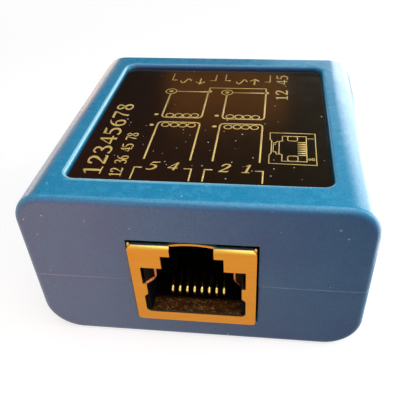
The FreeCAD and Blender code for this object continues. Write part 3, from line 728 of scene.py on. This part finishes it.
def turnedCorner(x, y, startAngle, radius):
    # A quarter circle that rounds the corner at x, y: centre + r (cos a, sin a), counter-clockwise
    angle = np.radians(np.linspace(startAngle, startAngle + 90, cornerSteps))
    centre = np.array([x - math.copysign(radius, x), y - math.copysign(radius, y)])
    return centre + radius * np.stack([np.cos(angle), np.sin(angle)], axis=1)


seamBead = {
    "level": 11.0,
    "halfHeight": 0.074,
    "depth": 0.25,         # into the wall
    "roundOff": 0.03,      # its upper and lower edges lie this far behind its face
    "halfX": 22.0,         # of the case
    "halfY": 21.5,
    "corner": 1.0,
    "jackHalf": 8.3,       # it stops beside the jack and beside the sockets' necks
    "neckX": 10.0,
    "neckHalf": 6.55,
    # the bead's pale lilac colour is a painted highlight along the seam
    "colour": "#a0a6cb",
}


def seamRun(path):
    # A thin bead along a level path, the case's inside on its left
    run = directions(path)
    inward = np.stack([-run[:, 1], run[:, 0], np.zeros(len(run))], axis=1)
    half, deep, back = (seamBead[key] for key in ("halfHeight", "depth", "roundOff"))
    section = [(deep, -half), (deep, half), (back, half), (0, half * 0.5), (0, -half * 0.5), (back, -half)]
    middle = np.column_stack([path, np.full(len(path), seamBead["level"])])
    return swept(middle, inward, (0.0, 0.0, 1.0), section)


def seamFlash():
    # Flash along the seam, in three runs: right side, between the necks, left side; its paler colour is a
    # painted highlight
    halfX, halfY, jack = (seamBead[key] for key in ("halfX", "halfY", "jackHalf"))
    nearNeck, farNeck = (seamBead["neckX"] + side * seamBead["neckHalf"] for side in (-1, 1))
    corners = [turnedCorner(side * halfX, end * halfY, startAngle, seamBead["corner"])
               for side, end, startAngle in cornerTurns]
    rightStart, leftEnd = (shield["middle"] + jack, -halfY), (shield["middle"] - jack, -halfY)
    runs = [np.concatenate([[rightStart], corners[0], corners[1], [(farNeck, halfY)]]),
            np.array([(nearNeck, halfY), (-nearNeck, halfY)]),
            np.concatenate([[(-farNeck, halfY)], corners[2], corners[3], [leftEnd]])]
    addPiece("seam_bead", [seamRun(run) for run in runs], mouldedAbs(seamBead["colour"]))


seamFlash()

recessRim = {
    "x": 16.6,             # the recess's walls
    "front": -16.9,
    "back": 17.6,
    "corner": 1.5,
    "top": 23.8,
    "radius": 0.45,
    "proud": (0.003, 0.001),                # off the wall and the top that it touches
    "hidden": [(0.47, 0.2), (0.12, -0.1)],  # where it closes inside the case's own wall
    "steps": 9,
    "sharp": 40,           # degrees from which its edges are shaded sharp
}


def roundRim():
    # The rim of the recess, rounded over its chamfer: round the recess's outline goes a quarter circle from
    # the wall to the top, (r - r cos a, r sin a), closed inside the case's own wall
    radius = recessRim["radius"]
    outline = np.concatenate([turnedCorner(side * recessRim["x"], recessRim["front" if end < 0 else "back"],
                                           startAngle, recessRim["corner"])
                              for side, end, startAngle in cornerTurns])
    angle = np.radians(np.concatenate([np.linspace(startAngle, startAngle + 90, cornerSteps)
                                       for side, end, startAngle in cornerTurns]))
    outward = np.stack([np.cos(angle), np.sin(angle), np.zeros(len(angle))], axis=1)
    quarter = np.linspace(0, np.pi / 2, recessRim["steps"])
    arc = np.stack([radius - radius * np.cos(quarter), radius * np.sin(quarter)], axis=1)
    section = np.concatenate([arc - recessRim["proud"], recessRim["hidden"]])
    path = np.column_stack([outline, np.full(len(outline), recessRim["top"] - radius)])
    piece = addPiece("recess_rim", [swept(path, outward, (0.0, 0.0, 1.0), section, True)],
                     looks["case_blue"])
    piece.data.set_sharp_from_angle(angle=math.radians(recessRim["sharp"]))


roundRim()
print("springs, tips, seam and rim ready")

# The print's drawing counts from about the middle of the case's front end, and is laid on a little reduced
layout = {"scale": 0.98998, "x": 0.09, "y": -21.946}
ink = {
    "base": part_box("top_plate")[1].z / mm + plateRaise,
    "height": 0.02,
    "bevel": 0.85,         # upper face of a line, as a share of its width
    "dotBevel": 0.9,
    "overlap": 0.0015,     # each further stroke of a sign lies this much higher, so that faces don't fight
}


def smoothLine(knots, steps=6):
    # Catmull-Rom line through the knots: from b to c, between a and d, (2b + (c - a) t
    # + (2a - 5b + 4c - d) t^2 + (3b - a - 3c + d) t^3) / 2. A knot's half width goes along with its place
    knots = np.asarray(knots, float)
    wide = np.concatenate([2 * knots[:1] - knots[1:2], knots, 2 * knots[-1:] - knots[-2:-1]])
    t = np.linspace(0, 1, steps, endpoint=False)[None, :, None]
    a, b, c, d = wide[:-3, None], wide[1:-2, None], wide[2:-1, None], wide[3:, None]
    curve = 0.5 * (2 * b + (c - a) * t + (2 * a - 5 * b + 4 * c - d) * t ** 2
                   + (3 * b - a - 3 * c + d) * t ** 3)
    return np.concatenate([curve.reshape(-1, knots.shape[1]), knots[-1:]])


def inkLine(path, halfWidth, closed=False, lift=0.0):
    # A bar of ink carried along a path: its section is a low trapezium, set across the mitre of the two runs
    path = np.asarray(path, float)
    count = len(path)
    halfWidth = np.broadcast_to(np.asarray(halfWidth, float), (count,))[:, None]
    if closed:
        before = path - np.roll(path, 1, axis=0)
        after = np.roll(path, -1, axis=0) - path
    else:
        runs = np.diff(path, axis=0)
        before = np.concatenate([runs[:1], runs])
        after = np.concatenate([runs, runs[-1:]])
    sides = [np.stack([-run[:, 1], run[:, 0]], axis=1) / np.linalg.norm(run, axis=1, keepdims=True)
             for run in (before, after)]
    mitre = sides[0] + sides[1]
    mitre /= np.maximum(1 + (sides[0] * sides[1]).sum(axis=1, keepdims=True), 0.5)
    section = np.array([(1.0, 0.0), (-1.0, 0.0), (-ink["bevel"], 1.0), (ink["bevel"], 1.0)])
    flat = path[:, None] + mitre[:, None] * halfWidth[:, None] * section[None, :, :1]
    height = np.broadcast_to(ink["base"] + lift + ink["height"] * section[:, 1], flat.shape[:2])[..., None]
    points = np.concatenate([flat, height], axis=2).reshape(-1, 3)
    faces = tubeFaces(count, 4, closed)[0][:, [0, 3, 2, 1]]
    if closed:
        return points, [faces]
    caps = np.array([[0, 1, 2, 3], [3, 2, 1, 0]]) + np.array([[0], [4 * (count - 1)]])
    return points, [faces, caps]


def inkRing(x, y, radius, halfWidth, steps=28):
    # A line of ink round a circle, (x + r cos a, y + r sin a)
    angle = np.linspace(0, 2 * np.pi, steps, endpoint=False)
    path = np.stack([x + radius * np.cos(angle), y + radius * np.sin(angle)], axis=1)
    return inkLine(path, halfWidth, True)


def inkDot(x, y, radiusX, radiusY, steps=20):
    # A filled ellipse of ink, (x + rx cos a, y + ry sin a), its upper edge a little smaller than its lower
    # one, and each closed by a fan
    angle = np.linspace(0, 2 * np.pi, steps, endpoint=False)
    rim = np.stack([np.cos(angle) * radiusX, np.sin(angle) * radiusY], axis=1)
    level = np.full((steps, 1), ink["base"])
    low = np.concatenate([rim + (x, y), level], axis=1)
    high = np.concatenate([rim * ink["dotBevel"] + (x, y), level + ink["height"]], axis=1)
    centres = np.array([(x, y, ink["base"]), (x, y, ink["base"] + ink["height"])])
    return np.concatenate([low, high, centres]), tubeFaces(2, steps)


def printed(name, shapes, look=inkLook):
    # Shapes of the drawing laid on the plate as one piece: place = drawing x scale + shift
    points, faceSets = joined(shapes)
    points[:, :2] = points[:, :2] * layout["scale"] + (layout["x"], layout["y"])
    addPiece(name, [(points, faceSets)], look)


# Numeral strokes in a box one unit high: x, y and half width at each knot
numerals = {
    "1": [[(0.12, 0.78, 0.02), (0.24, 0.86, 0.03), (0.33, 0.95, 0.045)],
          [(0.33, 0.97, 0.075), (0.33, 0.5, 0.075), (0.33, 0.03, 0.075)],
          [(0.10, 0.025, 0.028), (0.33, 0.03, 0.03), (0.56, 0.025, 0.028)]],
    "2": [[(0.07, 0.72, 0.07), (0.13, 0.90, 0.055), (0.30, 0.965, 0.045), (0.47, 0.86, 0.08),
           (0.47, 0.64, 0.085), (0.30, 0.36, 0.045), (0.07, 0.08, 0.025)],
          [(0.05, 0.06, 0.055), (0.30, 0.07, 0.065), (0.56, 0.07, 0.06)],
          [(0.56, 0.05, 0.045), (0.60, 0.20, 0.018)]],
    "3": [[(0.08, 0.80, 0.05), (0.17, 0.93, 0.04), (0.32, 0.965, 0.04), (0.46, 0.84, 0.075),
           (0.40, 0.63, 0.055), (0.22, 0.54, 0.022)],
          [(0.22, 0.54, 0.022), (0.44, 0.46, 0.06), (0.52, 0.27, 0.085), (0.42, 0.08, 0.06),
           (0.22, 0.03, 0.04), (0.06, 0.12, 0.06)]],
    "4": [[(0.40, 0.95, 0.03), (0.22, 0.62, 0.026), (0.04, 0.30, 0.022)],
          [(0.02, 0.29, 0.045), (0.30, 0.29, 0.045), (0.62, 0.29, 0.045)],
          [(0.43, 0.97, 0.07), (0.43, 0.5, 0.075), (0.43, 0.03, 0.075)]],
    "5": [[(0.13, 0.92, 0.055), (0.30, 0.92, 0.06), (0.50, 0.94, 0.05), (0.55, 1.0, 0.02)],
          [(0.15, 0.90, 0.03), (0.12, 0.74, 0.025), (0.09, 0.56, 0.02)],
          [(0.09, 0.56, 0.02), (0.27, 0.60, 0.045), (0.47, 0.49, 0.08), (0.51, 0.27, 0.085),
           (0.38, 0.07, 0.055), (0.18, 0.03, 0.045), (0.05, 0.11, 0.06)]],
    "6": [[(0.53, 0.96, 0.02), (0.32, 0.86, 0.045), (0.14, 0.62, 0.075), (0.09, 0.32, 0.085),
           (0.18, 0.08, 0.055), (0.32, 0.02, 0.035), (0.46, 0.11, 0.065), (0.50, 0.30, 0.08),
           (0.43, 0.50, 0.055), (0.30, 0.56, 0.035), (0.15, 0.48, 0.025)]],
    "7": [[(0.05, 0.80, 0.02), (0.08, 0.92, 0.05), (0.30, 0.92, 0.065), (0.57, 0.92, 0.055)],
          [(0.57, 0.93, 0.03), (0.42, 0.62, 0.045), (0.30, 0.34, 0.065), (0.25, 0.03, 0.08)]],
    "8": [[(0.30, 0.98, 0.035), (0.14, 0.88, 0.06), (0.14, 0.68, 0.065), (0.32, 0.52, 0.06),
           (0.49, 0.32, 0.08), (0.45, 0.10, 0.065), (0.30, 0.02, 0.035), (0.13, 0.10, 0.06),
           (0.09, 0.28, 0.065), (0.26, 0.50, 0.045), (0.44, 0.70, 0.055), (0.44, 0.88, 0.05),
           (0.30, 0.98, 0.035)]],
}


def inkNumeral(digit, corner, height, across, up, widen):
    # The digit's strokes laid from a corner: place = corner + height (x widen across + y up)
    across, up = np.array(across, float), np.array(up, float)
    shapes = []
    for number, knots in enumerate(numerals[digit]):
        line = smoothLine(knots)
        path = np.array(corner) + height * (line[:, :1] * across * widen + line[:, 1:2] * up)
        shapes.append(inkLine(path, line[:, 2] * height * math.sqrt(widen), lift=ink["overlap"] * number))
    return joined(shapes)


# The two circuits. Of each: the terminal and the end of its line, that line's height, the loop's left, right
# and bottom, the leads' left, right, top and foot, and the rings and spots of the two coils
windings = {
    "line": 0.125,         # half widths
    "ringLine": 0.085,
    "ring": 0.56,
    "terminal": (0.88, 0.34),
    "endDot": 0.42,
    "spot": (0.34, 0.3),
    "corner": 0.75,
    "lineGap": 0.9,        # from the terminal's middle to its line
    "loopGaps": (0.85, 0.2),   # from there to the loop, and from the end dot's middle
    "print_receive_winding": {
        "terminal": (-7.7, 30.9),
        "end": (-1.45, 31.1),
        "lineY": 30.9,
        "loop": (-7.67, -1.65, 22.15),
        "leads": (-7.8, -1.62, 20.75, 10.64),
        "rings": [(-6.5, 22.8), (-5.17, 22.8), (-3.95, 22.8), (-2.74, 22.9),
                  (-6.62, 19.92), (-5.33, 19.93), (-4.07, 19.88), (-2.8, 19.95)],
        "spots": [(-8.6, 22.97), (-8.65, 19.75)],
    },
    "print_send_winding": {
        "terminal": (1.41, 30.84),
        "end": (7.67, 30.84),
        "lineY": 30.8,
        "loop": (1.42, 7.59, 22.1),
        "leads": (1.33, 7.45, 20.65, 10.65),
        "rings": [(2.53, 22.83), (3.85, 22.8), (5.07, 22.77), (6.34, 22.75),
                  (2.53, 19.7), (3.84, 19.76), (5.04, 19.76), (6.31, 19.75)],
        "spots": [(0.55, 23.0), (0.55, 19.78)],
    },
}


def printWinding(name):
    # One direction's diagram: terminal, loop with its coil, the second coil and its two leads
    half, corner, (outer, inner) = windings["line"], windings["corner"], windings["terminal"]
    drawn = windings[name]
    terminal, end = drawn["terminal"], drawn["end"]
    left, right, bottom = drawn["loop"]
    near, far = windings["loopGaps"]
    loop = [(left, terminal[1] - near), (left, bottom), (right, bottom), (right, end[1] - far)]
    left, right, top, foot = drawn["leads"]
    leads = [(left, foot), (left, top), (right, top), (right, foot)]
    shapes = [inkRing(*terminal, outer, windings["ringLine"]), inkDot(*terminal, inner, inner),
              inkDot(*end, windings["endDot"], windings["endDot"]),
              inkLine([(terminal[0] + windings["lineGap"], drawn["lineY"]), (end[0], drawn["lineY"])], half),
              inkLine(bentLine(loop, corner), half), inkLine(bentLine(leads, corner), half)]
    shapes += [inkRing(x, y, windings["ring"], windings["ringLine"]) for x, y in drawn["rings"]]
    shapes += [inkDot(x, y, *windings["spot"]) for x, y in drawn["spots"]]
    printed(name, shapes)


printWinding("print_receive_winding")
printWinding("print_send_winding")

brackets = {
    "half": 0.1,
    "lines": [
        [(-1.5, 31.33), (-1.55, 32.41), (7.57, 32.40), (7.62, 30.91)],
        [(-7.45, 35.18), (-8.27, 35.18), (-8.27, 37.75)],
        [(-1.93, 35.2), (-0.95, 35.2), (-0.95, 37.5)],
        [(1.58, 35.27), (0.68, 35.27), (0.68, 37.9)],
        [(7.21, 35.04), (8.12, 35.04), (8.12, 37.74)],
        [(-8.57, 6.0), (-8.57, 8.66), (-7.58, 8.66)],
        [(-2.15, 8.65), (-1.15, 8.65), (-1.15, 6.0)],
        [(0.56, 6.0), (0.56, 8.65), (1.57, 8.65)],
        [(6.97, 8.66), (7.97, 8.66), (7.97, 6.0)],
    ],
}
printed("print_brackets", [inkLine(line, brackets["half"]) for line in brackets["lines"]])

# Plain numerals: in front the contacts that the lines lead to, along the left side the eight contacts and
# their pairs, and at the right the two pairs in use
numberRows = {
    "front": [("5", -7.15, 8.2), ("4", -4.45, 8.2), ("2", 2.2, 8.2), ("1", 5.05, 8.2)],
    "frontHeight": 1.9,
    "frontWiden": 1.15,
    "slant": (0.27, 1.0),
    "side": [   # digits, base line, first place, height, step, widening
        ("12345678", -12.65, 6.5, 2.5, 2.5, 1.45),
        ("12 36 45 78", -9.9, 6.3, 1.62, 1.0, 1.05),
        ("12 45", 11.03, 28.4, 1.9, 1.9, 1.5),
    ],
    "alongY": ((0, 1), (-1, 0)),   # across and up for a row that reads towards the back
}


def printNumerals():
    # All rows as one piece of ink
    shapes = [inkNumeral(digit, (x, y), numberRows["frontHeight"], (1, 0), numberRows["slant"],
                         numberRows["frontWiden"]) for digit, x, y in numberRows["front"]]
    for digits, base, first, height, step, widen in numberRows["side"]:
        shapes += [inkNumeral(digit, (base, first + place * step), height, *numberRows["alongY"], widen)
                   for place, digit in enumerate(digits) if digit != " "]
    printed("print_numerals", shapes)


printNumerals()

# Signs between the back brackets, a wave and an arrow: in on the receive side, out on the send side
signals = {
    "half": 0.14,
    "y": 34.95,
    "reach": 1.05,
    "head": 0.75,
    "wave": (0.9, 0.8),    # half its length and its height
    "receive": (-5.94, -3.48),   # x of the wave and of the arrow
    "send": (3.43, 5.57),
}


def signalMarks(waveX, arrowX, reach):
    # One period of a wave, (x + l - l a / pi, y + h sin a), and an arrow beside it
    half, head = signals["half"], signals["head"]
    length, height = signals["wave"]
    angle = np.linspace(0, 2 * np.pi, 25)
    sine = np.stack([waveX + length - length * angle / np.pi, signals["y"] + height * np.sin(angle)], axis=1)
    tip = signals["y"] + reach
    barbs = [(arrowX - head, tip - reach * head), (arrowX, tip), (arrowX + head, tip - reach * head)]
    return [inkLine(sine, half), inkLine([(arrowX, signals["y"] - reach), (arrowX, tip)], half),
            inkLine(barbs, half, lift=ink["overlap"])]


printed("print_signal_marks", signalMarks(*signals["receive"], -signals["reach"])
        + signalMarks(*signals["send"], signals["reach"]))

jackSymbol = {
    "half": 0.065,
    "outer": [(8.61, 18.43), (14.8, 18.35), (14.75, 10.45), (8.62, 10.6), (8.61, 12.63), (8.85, 13.04),
              (8.86, 16.24), (8.64, 16.55)],
    "inner": [(10.31, 17.55), (13.57, 17.55), (13.52, 11.21), (10.27, 11.22), (10.3, 12.79),
              (10.03, 12.89), (9.57, 12.86), (9.47, 13.38), (9.11, 13.43), (9.1, 15.68), (9.42, 15.69),
              (9.65, 16.15), (10.32, 16.19)],
    "bar": [(9.89, 12.88), (9.89, 16.17)],
    "boxes": [(11.05, 12.37, 16.32, 17.5), (11.05, 12.37, 11.27, 12.5)],   # low and high x, front and back y
    "boxCorner": 0.3,
    "stripes": (12.38, 13.49, 12.75, 15.95, 8),   # low and high x, first and last y, how many
    "stripeHalf": 0.11,
    "digits": [("1", 16.7), ("8", 11.5)],
    "digitX": 14.55,
    "digitSize": (0.85, 1.2),   # height and widening
}


def printJack():
    # The jack seen from the front: its opening, eight contacts, and the numerals of the first and last
    half = jackSymbol["half"]
    shapes = [inkLine(jackSymbol["outer"], half, True), inkLine(jackSymbol["inner"], half, True),
              inkLine(jackSymbol["bar"], half)]
    for low, high, front, back in jackSymbol["boxes"]:
        corners = [(low, front), (high, front), (high, back), (low, back)]
        shapes.append(inkLine(bentLine(corners, jackSymbol["boxCorner"], True), half, True))
    low, high, front, back, count = jackSymbol["stripes"]
    shapes += [inkLine([(low, y), (high, y)], jackSymbol["stripeHalf"])
               for y in np.linspace(front, back, count)]
    height, widen = jackSymbol["digitSize"]
    shapes += [inkNumeral(digit, (jackSymbol["digitX"], y), height, *numberRows["alongY"], widen)
               for digit, y in jackSymbol["digits"]]
    printed("print_jack_symbol", shapes)


printJack()

dust = {
    "squash": 0.8,
    "steps": 10,
    "grains": [   # place in the print's drawing, and radius
        (-12.56, 21.27, 0.13), (-9.37, 19.45, 0.09), (2.27, 21.74, 0.14), (7.82, 20.9, 0.09),
        (4.74, 17.74, 0.13), (2.11, 18.4, 0.09), (3.96, 15.91, 0.1), (0.21, 15.29, 0.12),
        (6.53, 11.78, 0.09), (8.96, 7.72, 0.1), (3.41, 6.77, 0.11), (-4.89, 10.16, 0.1),
        (-4.53, 9.43, 0.09), (0.12, 9.49, 0.12), (-9.1, 16.4, 0.06), (-8.7, 14.3, 0.07),
        (-6.9, 12.6, 0.06), (-5.6, 12.1, 0.05), (-3.9, 13.6, 0.06), (-2.9, 15.2, 0.07),
        (0.7, 13.2, 0.06), (-0.6, 18.6, 0.06), (-3.6, 17.6, 0.05), (-11.9, 11.2, 0.07),
        (-13.6, 7.6, 0.06), (4.1, 13.9, 0.05), (5.4, 9.6, 0.06), (9.7, 21.6, 0.06),
        (12.8, 7.2, 0.06),
    ],
}
printed("plate_dust", [inkDot(x, y, radius, radius * dust["squash"], dust["steps"])
                       for x, y, radius in dust["grains"]], paleDust())
print("print on the plate ready")


def seenDirectly(add):
    # 1 for what the camera sees straight, mirrored or through glass, 0 for light that only lights
    rays = add("LightPath", output=None)
    either = add("Math", [rays["Is Camera Ray"], rays["Is Glossy Ray"]], operation="MAXIMUM")
    return add("Math", [either, rays["Is Transmission Ray"]], operation="MAXIMUM")


def addCard(name, corners, look):
    # A flat sheet of the stage, its corners in metres
    mesh = bpy.data.meshes.new(name)
    mesh.from_pydata(corners, [], [(0, 1, 2, 3)])
    mesh.materials.append(look)
    card = bpy.data.objects.new(name, mesh)
    bpy.context.scene.collection.objects.link(card)
    return card


# The stage, in metres and as strengths of light, where 1 is white
stage = {
    "floorHalf": 1.5,
    "floorGlow": 0.73,             # the part of its light that the floor gives itself near the object,
    "farGlow": (0.12, 0.6, 0.27),  # and what is added from the first distance to the second
    "room": {"left": -1.1, "right": 0.6, "back": 0.9, "low": 0.08, "high": 1.7},
    "roomCorner": (-0.32, 0.9, 0.36),
    "worldLight": 0.16,
    "aim": (0.0, 0.0, 0.011),
}


def floorCard():
    # Pale floor: what the camera sees gets part of its light from itself, so it stays white and keeps the
    # shadow, and more of it far away, where no lamp reaches, so the floor ends in the white behind it
    material, add, shader, place = newMaterial("matt white card")
    cloud = add("TexNoise", {"Vector": place, "Scale": scaleOf(60.0)})
    near = add("MapRange", [seenDirectly(add), 0.0, 1.0, 0.0, stage["floorGlow"]])
    away = add("VectorMath", [place], "Value", operation="LENGTH")
    start, end, glow = stage["farGlow"]
    far = product(add, add("LightPath", output="Is Camera Ray"),
                  add("MapRange", [away, start, end, 0.0, glow]))
    setInputs(shader, {
        "Base Color": layered(add, "#b9b7b4", (cloud, "#bdbbb8")),
        "Roughness": 0.9,
        "Specular IOR Level": 0.0,
        "Emission Color": (1, 1, 1, 1),
        "Emission Strength": add("Math", [near, far], operation="ADD"),
    })
    half = stage["floorHalf"]
    addCard("floor", [(-half, -half, 0), (half, -half, 0), (half, half, 0), (-half, half, 0)], material)


def darkRoomCard():
    # Brown far side of the room, which only polished and glossy faces see: red-brown at its left, olive at
    # its right, darkest low down at the left, and faintly lit by itself
    material, add, shader, place = newMaterial("brown room card")
    across = add("MapRange", [add("SeparateXYZ", [place]), -0.4, 0.08])
    corner = add("VectorMath", [place, stage["roomCorner"]], "Value", operation="DISTANCE")
    setInputs(shader, {
        "Base Color": linear("#201610"),
        "Roughness": 0.9,
        "Emission Color": layered(add, "#703c2e", (across, "#484428"),
                                  (add("MapRange", [corner, 0.3, 0.04]), "#2a2724")),
        "Emission Strength": 1.0,
    })
    left, right, back, low, high = stage["room"].values()
    card = addCard("dark room", [(left, back, low), (right, back, low), (right, back, high),
                                 (left, back, high)], material)
    card.visible_camera = False
    card.visible_diffuse = False
    card.visible_shadow = False
    card.visible_transmission = False


def addPanel(name, place, size, radiance, colour, kind, target):
    # A rectangular lamp, in metres: power = pi x area x radiance. A mirrored one only shows in polished and
    # glossy faces, a soft one only lights what is matt, and a plain one does both
    lamp = bpy.data.lights.new(name, "AREA")
    lamp.shape = "RECTANGLE"
    lamp.size, lamp.size_y = size
    lamp.energy = math.pi * size[0] * size[1] * radiance
    lamp.color = linear(colour)[:3]
    panel = bpy.data.objects.new(name, lamp)
    panel.location = place
    panel.rotation_euler = (Vector(target) - Vector(place)).to_track_quat("-Z", "Y").to_euler()
    bpy.context.scene.collection.objects.link(panel)
    panel.visible_camera = False
    panel.visible_diffuse = kind != "mirrored"
    panel.visible_glossy = kind != "soft"


panels = {
    "overhead panel": ((-0.02, 0.06, 0.48), (0.45, 0.45), 0.98, "#f2f8ff", "plain"),
    "near panel": ((0.03, -0.035, 0.095), (0.10, 0.10), 1.3, "#f6faff", "plain"),
    "right window": ((0.48, 0.08, 0.19), (0.25, 0.40), 4.0, "#ffffff", "plain"),
    "red-brown fill": ((-0.035, -0.07, 0.008), (0.03, 0.012), 21.0, "#ff8c60", "soft"),
    "low window glare": ((0.075, 0.10, 0.03), (0.17, 0.06), 3.0, "#ffffff", "mirrored"),
    "table glare": ((0.052, 0.012, 0.012), (0.09, 0.035), 3.4, "#ffffff", "mirrored"),
    "high window glare": ((0.142, 0.286, 0.135), (0.15, 0.1), 3.4, "#ffffff", "mirrored"),
    "left wall glare": ((-0.105, 0.123, 0.022), (0.12, 0.044), 2.3, "#ffca9c", "mirrored"),
    "far strip": ((0.0, 0.85, 0.045), (1.0, 0.03), 3.0, "#eef8ff", "mirrored"),
    "warm lamp": ((-0.0585, 0.60, 0.31), (0.169, 0.075), 0.55, "#ff9c38", "mirrored"),
}
targets = {"red-brown fill": (0.0, -0.015, 0.028), "table glare": (0.022, 0.012, 0.05)}
for name, (place, size, radiance, colour, kind) in panels.items():
    addPanel(name, place, size, radiance, colour, kind, targets.get(name, stage["aim"]))
floorCard()
darkRoomCard()


def whiteStudio():
    # White behind everything that the camera sees, faint as a light
    world = bpy.data.worlds.new("white studio")
    bpy.context.scene.world = world
    world.use_nodes = True
    world.node_tree.nodes.clear()
    add = partial(addNode, world.node_tree)
    strength = add("MapRange", [seenDirectly(add), 0.0, 1.0, stage["worldLight"], 1.0])
    add("OutputWorld", [add("Background", {"Color": (1, 1, 1, 1), "Strength": strength})], None)


whiteStudio()

camera = {
    "place": (8.984, -66.046, 58.728),
    "turn": (-7.477, 39.534, -2.124),   # degrees: to the right of Y, down and roll
    "frame": 400,                       # pixels along each side
    "focal": 506.48,                    # pixels
    "middle": (217.67, 220.68),         # where the optical axis meets the frame
    "sensor": 36.0,
}


def photoCamera():
    # Ahead = (sin yaw cos pitch, cos yaw cos pitch, -sin pitch), then right and up are turned by the roll
    yaw, pitch, roll = np.radians(camera["turn"])
    ahead = np.array([math.sin(yaw) * math.cos(pitch), math.cos(yaw) * math.cos(pitch), -math.sin(pitch)])
    right = np.array([math.cos(yaw), -math.sin(yaw), 0.0])
    up = np.cross(right, ahead)
    right, up = math.cos(roll) * right + math.sin(roll) * up, math.cos(roll) * up - math.sin(roll) * right
    view = bpy.data.cameras.new("photo camera")
    view.sensor_width = camera["sensor"]
    view.lens = camera["focal"] / camera["frame"] * camera["sensor"]
    view.shift_x = (camera["frame"] / 2 - camera["middle"][0]) / camera["frame"]
    view.shift_y = (camera["middle"][1] - camera["frame"] / 2) / camera["frame"]
    view.clip_start = 0.002
    view.clip_end = 10.0
    matrix = Matrix([(*row, 0.0) for row in np.stack([right, up, -ahead], axis=1)] + [(0, 0, 0, 1)])
    matrix.translation = Vector(camera["place"]) * mm
    viewer = bpy.data.objects.new("photo camera", view)
    viewer.matrix_world = matrix
    bpy.context.scene.collection.objects.link(viewer)
    bpy.context.scene.camera = viewer


photoCamera()
bpy.context.scene.view_settings.view_transform = "Standard"
print("stage ready")
